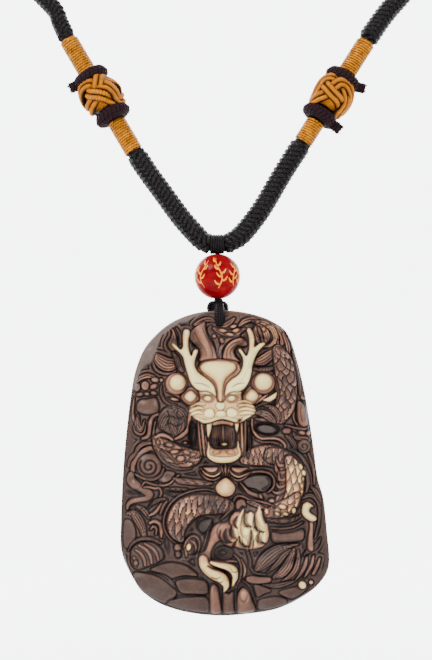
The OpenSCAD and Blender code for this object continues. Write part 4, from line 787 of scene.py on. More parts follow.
    ("ridge", -0.14, 0.25, [9.6, 28.4, 0.1, 11, 29, 0.2, 11.3, 30, 0.2, 10.6, 30.9, 0.1]),
    ("ridge", 0.22, 0.4, [4, 30.4, 0.2, 6, 31.8, 0.3, 8.6, 32.4, 0.3, 11, 32, 0.3, 12.2, 30.6, 0.3, 12, 28.8, 0.3,
        10.8, 27.6, 0.25]),
    ("ridge", 0.24, 0.45, [4.4, 30.1, 0.2, 5.6, 28.6, 0.35, 6.6, 27.6, 0.5, 8.4, 26.9, 0.5, 9.6, 26.2, 0.3]),
    ("ball", 0.5, 0.4, [11.6, 25.8, 0.8, 0.5, 10]),
    ("ball", 0.4, 0.4, [9.2, 26.7, 0.4, 0.75, 30]),
    # fringe scroll between the coils
    ("patch", 0.36, 0.5, [3.6, 24.2, 3.6, 25.6, 4.6, 26.2, 5.6, 25.8, 5.9, 24.4, 5, 24.6, 4.2, 23.8],
        {"round": 0.5}),
    ("ridge", 0.3, 0.5, [3, 23.8, 0.2, 3, 25.6, 0.28, 3.8, 26.8, 0.3, 5.2, 26.7, 0.3, 6.6, 26, 0.3, 8.4, 25.7, 0.3,
        10.4, 25.3, 0.28, 12.4, 24.6, 0.2]),
    ("comb", 0.36, 0.4, [6.2, 25.5, 0.3, 7.3, 25.2, 0.55, 8.7, 24.7, 0.5, 9.8, 24.2, 0.3], {"rows": 2}),
    # lower left coil
    ("ridge", 0.26, 0.45, [0.2, 27.4, 0.2, -2.8, 28.3, 0.28, -6, 28, 0.28, -9, 26.9, 0.28, -11.2, 25, 0.28, -12.4,
        22.6, 0.28, -12.6, 20, 0.28, -11.6, 17.8, 0.28, -10, 16.3, 0.25, -8.6, 16, 0.2]),
    ("ridge", 0.3, 0.45, [-0.4, 27.2, 0.2, -3, 27.6, 0.28, -6.2, 27.3, 0.28, -8.8, 26.2, 0.28, -10.6, 24.5, 0.28,
        -11.7, 22.4, 0.28, -11.9, 20.2, 0.28, -10.9, 18, 0.28, -9.4, 16.9, 0.22]),
    ("scales", 0.84, 0.65, [1.6, 24.6, 1.6, -0.8, 25, 2.2, -3.4, 25, 2.4, -6, 24.6, 2.7, -8.2, 23.2, 2.9, -9.6,
        20.8, 2.4, -9.6, 18.6, 1.6, -8.8, 17.2, 0.8],
        {"long": 2.5, "wide": 1.5, "point": 1.2, "aim": -100, "under": 0.1, "glow": [-7.4, 23.4, 4.2],
         "wander": 0.16, "deep": 1.0, "seam": 0.56}),
    ("wash", -0.18, [-3, 25.4, 4.6, 2.6, 0]),
    ("wash", -0.08, [-8.6, 22, 4, 4.4, 0]),
    ("pit", -0.1, 0.4, [-3.4, 20.2, 1.9, 1.9, 0]),
    ("patch", -0.2, 0.1, [-4.8, 20.4, -3.8, 21.4, -1.8, 21.7, -2.4, 19.8, -3.6, 18.5, -4.7, 19.2], {"round": 0.8}),
    ("ridge", 0.3, 0.4, [0.2, 21.6, 0.2, 1.2, 22.6, 0.35, 2.4, 24, 0.35, 2.2, 25.4, 0.2]),
    # leg and haunch
    ("ridge", 0.24, 0.4, [-1.8, 20.6, 0.15, -2.7, 18.8, 0.22, -3.3, 16.8, 0.22, -4.1, 14.4, 0.15]),
    ("patch", 0.46, 0.6, [1.4, 20.8, -0.2, 20.9, -1.4, 20.2, -2.1, 18.8, -2.6, 16.8, -3.4, 14.8, -4.8, 13.9, -4.6,
        12, -3.2, 11.2, -2.2, 12.4, -1.9, 14.6, -0.9, 16.4, 0.6, 17.2, 1.8, 18], {"round": 1.4}),
    ("patch", 0.58, 0.6, [-0.4, 18, -0.6, 19.6, 0.4, 20.8, 1.6, 21.2, 2.4, 22.4, 3.4, 23.4, 4.8, 23, 5.6, 20, 5,
        16.4, 3, 15.4, 1, 16], {"round": 1.4, "groove": 0.7}),
    ("patch", 0.84, 0.7, [1.8, 17.6, 2.2, 19.4, 2.8, 20.8, 3.3, 20.4, 3.8, 21.6, 4.4, 22.8, 5.3, 24, 5.9, 23, 6.8,
        23.3, 7.7, 23, 8.2, 23.4, 8.9, 24.8, 9.4, 23.4, 10.1, 22, 10.7, 20.4, 11, 18.4, 10.7, 16.8, 9.4, 15.5, 7.4,
        15, 5.2, 15, 3.2, 15.5, 2.2, 16.2], {"round": 1.6, "groove": 0.1}),
    ("wash", -0.12, [5.5, 15, 5, 1.6, 0]),
    ("ridge", 0.9, 0.35, [5.1, 23.6, 0.1, 4.6, 22.2, 0.5, 4.1, 20.8, 0.55, 3.9, 19.8, 0.2], {"groove": 0.0}),
    ("ridge", 1.0, 0.45, [6.9, 22.9, 0.4, 6.8, 21.8, 0.8, 6.9, 20.8, 0.5], {"groove": 0.0}),
    ("ridge", 0.94, 0.4, [8.8, 24.4, 0.08, 8.7, 22.8, 0.45, 9.1, 21.2, 0.6, 9.9, 20, 0.25], {"groove": 0.0}),
    ("ridge", 0.92, 0.4, [3.6, 20, 0.2, 3.5, 19, 0.6, 3.9, 17.9, 0.4], {"groove": 0.0}),
    ("ball", 1.08, 0.5, [5.8, 19.1, 0.75, 1.15, 0], {"groove": 0.0}),
    ("ridge", 1.04, 0.45, [7.8, 19.9, 0.3, 7.9, 18.8, 0.55, 7.7, 17.8, 0.35], {"groove": 0.0}),
    ("ridge", 0.96, 0.4, [10.1, 18.8, 0.3, 9.9, 17.8, 0.65, 9.8, 16.9, 0.5], {"groove": 0.0}),
    ("ridge", 0.7, 0.4, [2.1, 19.4, 0.15, 1.9, 18.2, 0.45, 2.5, 17.2, 0.3], {"groove": 0.0}),
    ("ridge", 0.94, 0.4, [5.3, 17.4, 0.4, 5.6, 16.6, 0.7, 5.7, 16, 0.5], {"groove": 0.0}),
    ("ridge", 0.86, 0.35, [7.9, 17, 0.4, 8, 16.4, 0.6, 8, 15.9, 0.5], {"groove": 0.0}),
    ("cut", 0.4, [5.5, 23.6, 0.14, 5.4, 22.2, 0.45, 5.5, 21, 0.45, 6.1, 20.4, 0.38, 7, 20.1, 0.14], [3.9, 22.4,
        0.14, 3.2, 21.2, 0.41, 3.3, 20.4, 0.3, 3.8, 19.8, 0.14], [7.8, 23, 0.11, 7.8, 21.2, 0.38, 8, 20, 0.45, 8.6,
        19.3, 0.41, 9.8, 18.9, 0.14], [9.7, 24, 0.14, 9.8, 22.4, 0.3, 10.3, 21, 0.23], [8.8, 18.9, 0.14, 8.5, 17.8,
        0.41, 8.9, 16.7, 0.45, 10.2, 16.2, 0.14], [2.6, 20.3, 0.14, 2.5, 18.9, 0.49, 2.9, 17.8, 0.45, 3.8, 17.2,
        0.14], [1.4, 19.6, 0.14, 1, 18.2, 0.45, 1.4, 16.9, 0.45, 2.6, 16.4, 0.18], [4.3, 17.9, 0.14, 4.5, 16.6,
        0.41, 5.3, 15.7, 0.41, 6.4, 15.5, 0.18], [7, 19.4, 0.14, 7, 17.8, 0.41, 6.8, 16.5, 0.38, 6.5, 15.4, 0.23],
        {"black": 1.0}),
    ("cut", 0.3, [4.8, 22.2, 0.06, 4.7, 20.4, 0.14, 4.7, 18.8, 0.14, 5.2, 17.8, 0.08], [6.9, 20, 0.06, 6.9, 18.8,
        0.12], {"black": 0.5}),
    ("cut", 0.4, [3.8, 17, 0.14, 3.2, 16.1, 0.38, 3, 15.3, 0.23], {"black": 1.0}),
    ("cut", 0.35, [7.5, 17, 0.08, 7.4, 16, 0.16, 7.3, 15.2, 0.1]),
    ("cut", 0.35, [0.2, 19.4, 0.1, -0.1, 18, 0.26, 0.4, 16.8, 0.24, 1.6, 16.2, 0.1], [2.4, 22.4, 0.08, 2, 21.2,
        0.24, 2.4, 20.4, 0.16], {"black": 1.0}),
    ("wash", -0.14, [1.6, 19, 2.2, 3.4, 0]),
    # eye-shaped curl and claws
    ("ball", 0.26, 0.5, [0.9, 14, 2.1, 1.5, -8]),
    ("ball", 0.14, 0.35, [0.9, 14, 1.5, 0.95, -8]),
    ("ball", 0.1, 0.3, [0.7, 14.1, 0.8, 0.5, -8]),
    ("ridge", 0.34, 0.5, [-1.6, 12.6, 0.2, 0.4, 12, 0.35, 2.2, 12.2, 0.35, 3.8, 12, 0.25]),
    ("ridge", 0.26, 0.45, [3.2, 13.6, 0.2, 4.4, 12.2, 0.35, 4.8, 10.4, 0.35, 4.6, 8.6, 0.35, 3.9, 7, 0.2]),
    ("ridge", 0.54, 0.45, [4.8, 12.6, 0.15, 5.5, 11, 0.3, 5.6, 9.6, 0.35, 5.2, 8.3, 0.15]),
    ("ridge", 0.88, 0.7, [-2, 12, 0.5, -0.2, 11.5, 0.65, 1.6, 11.1, 0.8, 3, 10.3, 0.95, 3.4, 8.9, 0.75, 3.1, 7.8,
        0.5, 2.8, 6.7, 0.2]),
    ("ridge", 0.88, 0.8, [-3.8, 12.8, 1.1, -3.4, 11.2, 1.25, -2.1, 9.9, 1.35, -0.4, 9, 1.4, 0.9, 8.1, 1.2, 1.4, 6.9,
        0.8, 0.9, 5.4, 0.25]),
    ("cut", 0.25, [-1.9, 8.8, 0.08, -0.9, 8.5, 0.12, 0, 8.9, 0.08], [-0.9, 8, 0.08, 0, 7.6, 0.12, 0.7, 8, 0.08]),
    ("cut", 0.5, [-2.8, 11.4, 0.14, -1.4, 10.7, 0.24, 0.4, 10.2, 0.26, 1.9, 9.5, 0.26, 2.5, 8.4, 0.24, 2.4, 7.2,
        0.2, 2.2, 5.9, 0.14]),
    ("cut", 0.2, [2.2, 11, 0.06, 2.9, 10, 0.1, 3.9, 9.9, 0.06]),
    ("wash", -0.2, [-4, 13.6, 2.4, 2, 0]),
    # small claw
    ("ball", 0.22, 0.4, [-6.4, 15.8, 1.8, 2, 0]),
    ("ridge", 0.36, 0.5, [-8.1, 15, 0.2, -7.6, 16.8, 0.3, -6.4, 17.8, 0.35, -5.2, 17.5, 0.35, -4.6, 16.2, 0.3, -4.8,
        14.6, 0.2]),
    ("ridge", 0.62, 0.5, [-6.6, 16.9, 0.15, -5.8, 16.4, 0.3, -5.4, 15.4, 0.3, -5.5, 14.4, 0.15]),
    ("ball", 0.98, 0.6, [-7, 15.5, 0.6, 0.9, -14]),
    ("ridge", 0.5, 0.5, [-7.8, 15, 0.2, -7.6, 14, 0.3, -7.5, 13.1, 0.12]),
    ("ball", 0.38, 0.45, [-9.5, 15.2, 0.85, 1, 10]),
    ("ball", 0.3, 0.4, [-9.4, 13.7, 0.7, 0.8, 0]),
    # right hand
    ("ridge", 0.22, 0.45, [18.6, 26.4, 0.3, 20, 27, 0.5, 21.4, 26.4, 0.5, 22.3, 24.8, 0.4, 22.4, 22.4, 0.35, 22,
        19.8, 0.35, 21.4, 17.6, 0.3], {"line": 0.1}),
    ("comb", 0.24, 0.4, [20.4, 29, 0.2, 21.4, 28, 0.5, 22.2, 26.6, 0.5, 22.8, 25, 0.2], {"rows": 2}),
    ("ridge", 0.4, 0.6, [20.5, 21.6, 0.5, 20.5, 19.6, 0.45, 20.3, 17.6, 0.6, 20.3, 15.6, 0.75, 20.4, 15.1, 0.6]),
    ("patch", 0.92, 0.8, [18.3, 24.2, 18.6, 25.2, 19.5, 25.7, 20.4, 25.3, 21.2, 24.4, 20.4, 24.3, 20.1, 23.7, 20.5,
        23.1, 21.3, 22.6, 21.8, 21.8, 21.2, 21.2, 20, 21.3, 18.9, 22.1, 18.3, 23.2], {"round": 1.1}),
    # chin petals and pearl
    ("ridge", 0.36, 0.45, [-4.5, 32.3, 0.15, -3.2, 30.9, 0.3, -1.4, 30.5, 0.3, 0, 31.2, 0.2], [6.9, 32.4, 0.15, 5.6,
        31, 0.3, 4, 30.4, 0.3, 2.5, 31.2, 0.2]),
    ("ridge", 0.6, 0.5, [-4.4, 33.2, 0.12, -3.3, 31.9, 0.26, -1.6, 31.3, 0.3, -0.3, 31.9, 0.28, 0.3, 32.8, 0.12],
        [6.8, 32.2, 0.12, 5.5, 31.6, 0.26, 4.1, 31.2, 0.3, 2.8, 31.8, 0.28, 2, 32.9, 0.12]),
    ("patch", 0.5, 0.5, [-4, 33.3, -2.2, 33.4, -0.5, 33.4, -0.8, 32.6, -1.8, 32.2, -3, 32.5], [6.4, 33.2, 4.4, 33.4,
        2.5, 33.4, 2.9, 32.6, 4.1, 32.1, 5.4, 32.4], {"round": 0.5}),
    ("ridge", 0.3, 0.45, [0.3, 33.9, 0.15, 0.6, 32.4, 0.22, 0.9, 31.2, 0.15], [2.1, 33.9, 0.15, 1.8, 32.4, 0.22,
        1.6, 31.2, 0.15]),
    ("ridge", 0.34, 0.45, [1.2, 34, 0.2, 1.2, 32.6, 0.3, 1.25, 31.4, 0.2]),
    ("patch", 0.86, 0.9, [1.3, 31.1, 2.2, 30.6, 3.3, 29.5, 3.5, 28.4, 2.8, 27.2, 1.6, 26.7, 0.4, 26.8, -0.7, 27.6,
        -1.1, 28.8, -0.6, 29.8, 0.3, 30.6], {"round": 2.4, "edge": 0.2}),
]
headStrokes = [
    # sides of the head behind the jaw
    ("ridge", 0.36, 0.5, [-12, 50.5, 0.2, -10.6, 49.9, 0.3, -9.2, 49.2, 0.35, -7.6, 47.8, 0.3, -6.8, 47.2, 0.2],
        {"line": 0.1}),
    ("ball", 0.5, 0.4, [-10.2, 48.6, 1.2, 0.42, -10]),
    ("patch", 0.4, 0.5, [-8.9, 49.2, -6.6, 51.5, -4.3, 49.6, -4.5, 48, -6.6, 47.1], {"round": 0.6}),
    ("patch", 0.5, 0.5, [5, 49.4, 7, 51.8, 9.2, 50.2, 9.4, 48.8, 7.4, 47.3, 5.2, 47.8], {"round": 0.8}),
    ("ridge", 0.46, 0.45, [8, 47.6, 0.2, 9.2, 48.6, 0.3, 10.6, 49.7, 0.25]),
    ("pit", 0.0, 0.6, [-6.1, 40.8, 0.95, 3, 4], {"black": 0.9}),
    ("ridge", -0.14, 0.15, [-5.8, 42, 0.08, -5.9, 40.6, 0.16, -6, 39.4, 0.08], {"groove": 0.2}),
    ("pit", 0.0, 0.4, [6.4, 40.2, 0.6, 2.9, -4], {"black": 0.8}),
    ("comb", 0.2, 0.4, [6.3, 43.4, 0.2, 6.6, 40.6, 0.35, 6.6, 38, 0.4, 6.2, 35.6, 0.2], {"rows": 2}),
    # jaw sides
    ("ridge", 0.36, 0.6, [-4.9, 43.8, 0.2, -4.7, 41, 0.28, -4.4, 38, 0.28, -4.1, 36, 0.2]),
    ("ridge", 0.44, 0.65, [-4.2, 43.4, 0.25, -3.9, 41, 0.32, -3.6, 38, 0.34, -3.4, 36, 0.25]),
    ("ridge", 0.3, 0.5, [-3.3, 40.6, 0.15, -3.1, 38.8, 0.25, -3.1, 37, 0.15]),
    ("ridge", 0.36, 0.6, [5.7, 43.8, 0.2, 5.7, 41, 0.28, 5.6, 38, 0.28, 5.4, 36, 0.2]),
    ("ridge", 0.44, 0.65, [4.8, 43.2, 0.25, 4.9, 41, 0.32, 5, 38, 0.34, 4.9, 36, 0.25]),
    # mouth
    ("pit", 0.2, 0.25, [0.7, 40.2, 3, 3, 0], {"black": 0.2}),
    ("comb", 0.32, 0.25, [-0.9, 42.6, 0.8, -0.9, 40.6, 0.9, -0.8, 38.4, 0.8], {"rows": 4, "groove": 0.5}),
    ("ridge", 0.4, 0.5, [0.7, 42.6, 0.3, 0.7, 40.6, 0.4, 0.8, 39, 0.3]),
    ("comb", 0.32, 0.25, [2.3, 42.6, 0.8, 2.4, 40.6, 0.9, 2.3, 38.4, 0.8], {"rows": 4, "groove": 0.5}),
    ("patch", 0.46, 1.1, [-1.8, 44, -1.7, 42.7, -0.4, 42.8, 0.9, 42.9, 2.1, 42.7, 2.9, 42.5, 3.1, 43.8, 0.6, 44.4],
        {"round": 0.5}),
    # lower jaw
    ("patch", 0.64, 0.7, [-2.6, 39.2, -2, 38.1, -1.2, 37.5, 0.2, 37.4, 1.6, 37.5, 3, 37.6, 3.8, 38.2, 4.1, 39.3,
        4.7, 37.4, 4.4, 35.6, 0.8, 34.6, -2.6, 35.6, -3, 37.4]),
    ("ridge", 0.9, 0.8, [-2.7, 39, 0.16, -2.5, 37.8, 0.26, -2.7, 36.7, 0.3, -2.3, 35.8, 0.5, -1, 35.2, 0.75, 0.8,
        35.1, 0.75, 2.6, 35.2, 0.75, 3.9, 35.8, 0.5, 4.4, 36.8, 0.3, 4.1, 37.8, 0.26, 4.05, 39.1, 0.16],
        {"groove": 0.5}),
    ("ball", 0.66, 0.2, [-0.8, 36.8, 1, 0.5, 4], [2.4, 36.8, 1.1, 0.5, -4], {"groove": 0.2}),
    ("ball", 0.9, 1.1, [0.95, 38.4, 0.85, 0.42, 0], {"groove": 0.6}),
    # fangs
    ("ridge", 0.84, 1.2, [-2.45, 43.6, 0.68, -2.45, 42.2, 0.6, -2.55, 41, 0.4, -2.65, 40, 0.12], [3.75, 43.6, 0.55,
        3.75, 42.4, 0.46, 3.8, 41.2, 0.14], {"edge": 0.5, "groove": 0.7}),
    # ears
    ("ball", 0.56, 0.35, [-9.8, 52.1, 2.5, 2.5, 0]),
    ("ball", 0.86, 0.7, [-9.5, 52.4, 1.9, 1.85, 0], {"edge": 0.1, "groove": 0.45}),
    ("ball", 0.56, 0.35, [9.7, 52.2, 2.7, 2.5, 0]),
    ("ball", 0.86, 0.7, [9.7, 52.5, 2.1, 1.95, 0], {"edge": 0.1, "groove": 0.45}),
    ("patch", 0.88, 0.5, [-6.6, 50.7, -5.2, 49.4, -6.6, 48, -8.1, 49.2], {"round": 0.9, "groove": 0.6}),
    ("patch", 0.84, 0.5, [7, 51.1, 8.6, 49.8, 8.3, 48.6, 6.8, 48.1, 5.6, 49.2], {"round": 1.1, "groove": 0.5}),
    ("ridge", 0.84, 0.5, [9.9, 48.5, 0.25, 11, 48.6, 0.6, 12, 49.2, 0.6, 12.6, 50, 0.3], {"groove": 0.7}),
    # face
    ("patch", 0.74, 0.4, [-4.8, 50.6, -4.5, 48.8, -5.2, 48, -6.6, 47, -6.8, 46, -6.3, 44.9, -5.6, 44.2, -4.3, 43.4,
        -3.4, 43.1, -2.2, 43.3, -1, 43.8, 0.4, 44, 2, 43.8, 3.3, 43.4, 4.4, 43.4, 5.4, 44, 6.8, 44.8, 7.9, 45.6,
        7.8, 47, 6.6, 48, 5.2, 48.4, 4.9, 49.6, 4.6, 50.8, 2.4, 51.6, 0, 51.8, -2.4, 51.4], {"round": 0.9}),
    ("ridge", 0.8, 0.35, [-3.4, 47.5, 0.2, -4.8, 47.7, 0.4, -6.6, 47, 0.2], {"groove": 0.35}),
    ("ridge", 0.86, 0.35, [-3.7, 46.6, 0.2, -5.1, 46.7, 0.4, -6.8, 46, 0.2], {"groove": 0.35}),
    ("ridge", 0.92, 0.35, [-3.8, 45.6, 0.2, -5.2, 45.8, 0.4, -6.5, 45.2, 0.2], {"groove": 0.35}),
    ("ridge", 0.8, 0.35, [3.9, 48, 0.2, 5.5, 48.2, 0.36, 7.2, 47.7, 0.2], {"groove": 0.35}),
    ("ridge", 0.86, 0.35, [4.1, 47.2, 0.2, 5.8, 47.4, 0.36, 7.6, 47, 0.2], {"groove": 0.35}),
    ("ridge", 0.92, 0.4, [4.2, 46.3, 0.2, 5.9, 46.6, 0.36, 7.9, 46.1, 0.2], {"groove": 0.4}),
    ("ridge", 0.98, 0.4, [4.2, 45.4, 0.2, 5.9, 45.7, 0.4, 7.6, 45.5, 0.2], {"groove": 0.4}),
    ("ridge", 0.96, 0.35, [-4.4, 50, 0.2, -3.2, 50.2, 0.36, -1.6, 49.9, 0.3], [4.6, 50.1, 0.2, 3.4, 50.2, 0.36, 1.8,
        50, 0.3], {"groove": 0.3}),
    ("ball", 0.7, 0.08, [-2.7, 48.8, 1.5, 0.95, -6], [2.7, 48.8, 1.5, 0.95, 6], {"groove": 0.15}),
    ("ball", 0.98, 0.4, [-2.8, 48.9, 0.85, 0.62, -6], [2.6, 48.9, 0.85, 0.62, 6], {"groove": 0.22, "edge": 0.1}),
    ("ridge", 1.0, 0.5, [-5.5, 44.5, 0.2, -4.4, 44.1, 0.35, -3.4, 43.7, 0.4, -2, 43.9, 0.4, -0.6, 44.4, 0.4, 0.6,
        44.6, 0.4, 2, 44.3, 0.4, 3.4, 43.9, 0.4, 4.6, 43.9, 0.4, 5.8, 44.6, 0.35, 6.8, 45, 0.2], {"groove": 0.2}),
    ("ball", 1.0, 0.5, [-2.4, 45.6, 1.3, 1.1, 12], [2.6, 45.7, 1.35, 1.1, -12], {"groove": 0.14, "edge": 0.05}),
    ("ball", 1.02, 0.5, [0.2, 45.4, 1.2, 0.8, 0], {"groove": 0.14, "edge": 0.05}),
    ("ball", 1.08, 0.8, [0.1, 47.3, 1.05, 1.05, 0], {"groove": 0.2, "edge": 0.05}),
    ("cut", 0.15, [-1.5, 46.5, 0.06, -1.15, 45.4, 0.14, -1.3, 44.6, 0.06], [1.6, 46.5, 0.06, 1.35, 45.4, 0.14, 1.5,
        44.6, 0.06], {"black": 0.25}),
    ("ball", 0.1, -0.3, [4.4, 43.95, 0.35, 0.2, 25], {"groove": 0.6}),
    # forehead
    ("patch", 0.62, 0.1, [-5, 55.8, -4.2, 57, -2.6, 57.5, 0, 57.7, 2.4, 57.5, 4, 57, 4.5, 56, 4.6, 54.8, 3, 53, 1.8,
        51.4, 1.3, 49.6, 0.8, 48.2, -0.4, 48.2, -1, 49.6, -1.6, 51.4, -3, 53, -4.8, 54.6], {"round": 0.5}),
    ("patch", 0.88, 0.5, [-4.6, 55.8, -4.1, 56.5, -2.8, 57.1, -0.6, 57.3, 1.6, 57.2, 3.1, 56.8, 3.7, 56, 3.5, 55.2,
        2.4, 54.3, 1.4, 53.4, 0.85, 52.2, 0.55, 50.6, 0.5, 48.4, -0.3, 48.4, -0.5, 50.2, -0.8, 51.8, -1.6, 53, -2.9,
        54, -4.1, 54.9], {"round": 1.5, "groove": 0.4}),
    ("wash", 0.1, [-1, 55.8, 3.4, 1.6, 0]),
    # brows that sweep up into the antlers
    ("patch", 0.98, 0.95, [-7.6, 64.4, -8.15, 64.2, -8.45, 63.1, -8.45, 61.8, -8.4, 60.6, -8.8, 59.9, -9.4, 60.4,
        -10.3, 61.2, -10.9, 61.1, -10.5, 60.3, -9.3, 59.2, -8.4, 58.1, -8.1, 57, -7.8, 55.8, -7.3, 54.4, -6.7, 52.6,
        -5.6, 51.1, -4.4, 50.5, -3, 50.5, -1.9, 50, -0.9, 49.3, -1, 50.8, -1.5, 52, -2.5, 53, -3.9, 54, -5, 55,
        -5.6, 56.2, -5.5, 57.6, -5, 59, -4.9, 59.7, -5.6, 59.9, -6.1, 59.4, -6.4, 58.5, -6.9, 59.9, -7, 61.8, -6.7,
        63.4, -6.9, 64.2], [6.5, 64.7, 7.1, 64.3, 7.6, 63.3, 7.8, 62, 7.75, 60.6, 8.3, 60.8, 9, 61.3, 9.9, 61.4,
        10.2, 61, 9.6, 60.4, 8.8, 59.5, 8.2, 58.5, 7.7, 57.3, 7.3, 55.8, 7, 54.2, 6.5, 52.6, 5.5, 51.1, 4.3, 50.4,
        3, 50.4, 2, 50, 1.1, 49.4, 1.2, 51, 1.6, 52.2, 2.6, 53.2, 3.9, 54.1, 4.7, 55.2, 5.1, 56.6, 5, 57.9, 4.5,
        58.9, 4.05, 59.7, 4.5, 60.05, 5.1, 59.5, 5.9, 58.5, 6.4, 59.8, 6.45, 61.4, 6.3, 62.8, 5.95, 64.2],
        {"round": 0.85, "edge": 0.25, "groove": 0.7}),
    ("wash", -0.1, [-8.4, 61, 3, 3, 0]),
    ("wash", -0.24, [-7.6, 64, 1.6, 4.8, 0]),
    ("wash", 0.1, [11, 63, 4, 3, -20]),
    ("wash", 0.09, [2.4, 64, 4, 2.4, 0]),
    ("wash", 0.12, [0.8, 40.4, 2.6, 2.2, 0]),
    ("wash", -0.26, [-11, 61.6, 1.8, 1.6, 0]),
    ("wash", -0.2, [-5, 60.4, 1.2, 1.6, 0]),
    ("wash", -0.26, [6.8, 64, 1.7, 5.4, 0]),
    ("wash", -0.22, [10.2, 61.8, 1.8, 1.6, 0]),
    ("wash", -0.2, [4, 60.4, 1.2, 1.6, 0]),
    ("wash", -0.08, [7.2, 60.6, 1.4, 2.6, 0]),
    ("wash", 0.1, [-4, 52, 3.4, 2, -30], [4.2, 52, 3.4, 2, 30]),
    ("cut", 0.1, [-5.6, 52.4, 0.06, -3.8, 52.1, 0.1, -2.4, 51.4, 0.06], [5.6, 52.4, 0.06, 3.9, 52.1, 0.1, 2.7, 51.4,
        0.06]),
]


# Shades of the stone from its dark skin to its pale heart; negative tones are the smooth grey floors
stoneShades = [
    (-0.5, (106, 89, 83)), (-0.3, (80, 68, 63)), (-0.1, (62, 51, 48)), (0.0, (46, 34, 31)),
    (0.16, (62, 46, 41)), (0.32, (83, 60, 51)), (0.48, (112, 78, 65)), (0.62, (152, 107, 84)),
    (0.78, (206, 158, 106)), (0.9, (232, 204, 134)), (1.05, (244, 229, 160)),
]


def softened(grid, times):
    for _ in range(times):
        padded = np.pad(grid, 1, mode="edge")
        grid = (padded[:-2, 1:-1] + padded[2:, 1:-1] + padded[1:-1, :-2] + padded[1:-1, 2:] + 4 * grid) / 8
    return grid


# The smooth crown along the top edge: wide at the left, narrow at the right
crown = {
    "wide": 1.3, "leftWide": 2.1, "leftU": -3, "lowWide": 2.0, "lowV": 57, "fade": 6,
    "bumpWide": 3.2, "bumpU": -14, "bumpReach": 2.4, "bumpV": 50,
    "waveWide": 0.35, "waveTurn": 1.5, "waveU": -5, "waveFade": 3,
    "startLeft": 50, "startRight": 60.5, "soft": 0.9, "tone": -0.54, "warmer": 0.74, "flat": 0.5,
}
plainEdge = {"rim": 1.9, "borderU": -19.6, "borderV": 33, "footV": 11}
swellReach, swellKeep = 1.45, 0.92


def crownShare(u, v, rimNear):
    wide = crown["wide"] + crown["leftWide"] * np.clip((crown["leftU"] - u) / crown["fade"], 0, 1)
    wide = wide - crown["lowWide"] * np.clip((crown["lowV"] - v) / crown["fade"], 0, 1)
    wide += crown["bumpWide"] * np.exp(-((u - crown["bumpU"]) / crown["bumpReach"]) ** 2) * (v > crown["bumpV"])
    fade = np.clip((crown["waveU"] - u) / crown["waveFade"], 0, 1)
    wide += crown["waveWide"] * np.sin(u * crown["waveTurn"]) * fade
    start = np.where(u < 0, crown["startLeft"], crown["startRight"])
    return np.clip((wide - rimNear) / crown["soft"], 0, 1) * np.clip(v - start, 0, 1)


def carve(u, v, inside):
    work = Carving(u, v)
    pit = np.zeros_like(u)

    def swell(target, values):
        rows = np.reshape(values, (-1, 4)).astype(float)
        rows = np.vstack([rows, rows]) if len(rows) == 1 else rows
        for a, b in zip(rows[:-1], rows[1:]):
            span = max(float(((b - a)[:2] ** 2).sum()), 1e-6)
            share = np.clip(((u - a[0]) * (b - a)[0] + (v - a[1]) * (b - a)[1]) / span, 0, 1)
            spot = a[:, None] + (b - a)[:, None] * share
            away = np.hypot(u - spot[0], v - spot[1]) / (swellReach * spot[2])
            np.maximum(target, spot[3] * np.clip(1 - away ** 2, 0, 1) ** 2, out=target)

    for group in forms.values():
        for values in group:
            swell(work.base, values)
    for values in hollows:
        swell(pit, values)
    work.base = softened((work.base - pit).reshape(inside.shape), 10).ravel() * swellKeep
    work.high = work.base.copy()
    for strokes in (skyStrokes, waterStrokes, bodyStrokes, headStrokes):
        for kind, *parts in strokes:
            extra = parts.pop() if isinstance(parts[-1], dict) else {}
            levels = [one for one in parts if not isinstance(one, list)]
            for values in parts[len(levels):]:
                getattr(work, kind)(*levels, values, **extra)
    top = crownShare(u, v, inside.ravel())
    work.tone += (crown["tone"] + crown["warmer"] * np.clip((u + 1.2) / 2.4, 0, 1) - work.tone) * top
    work.high += (crown["flat"] * work.base - work.high) * top
    work.dark *= 1 - top
    border = np.clip((plainEdge["borderU"] - 0.06 * (stone["middleV"] - v) - u) / 0.8, 0, 1)
    border = border * np.clip((v - plainEdge["borderV"]) / 2, 0, 1)
    foot = np.clip((plainEdge["footV"] - v) / 1.5, 0, 1)
    rim = np.clip((plainEdge["rim"] - inside.ravel()) / 0.8, 0, 1)
    work.echo(np.max([top, border, foot, rim], 0))
    return work


# Stretches the stone about its middle height, in frame metres
def stretched(x, lean, v, keep, about=0):
    middle = stone["middleV"]
    return ((about + (x - about) * keep) * mm, lean * mm, (middle + (v - middle) * keep - place["napeV"]) * mm)


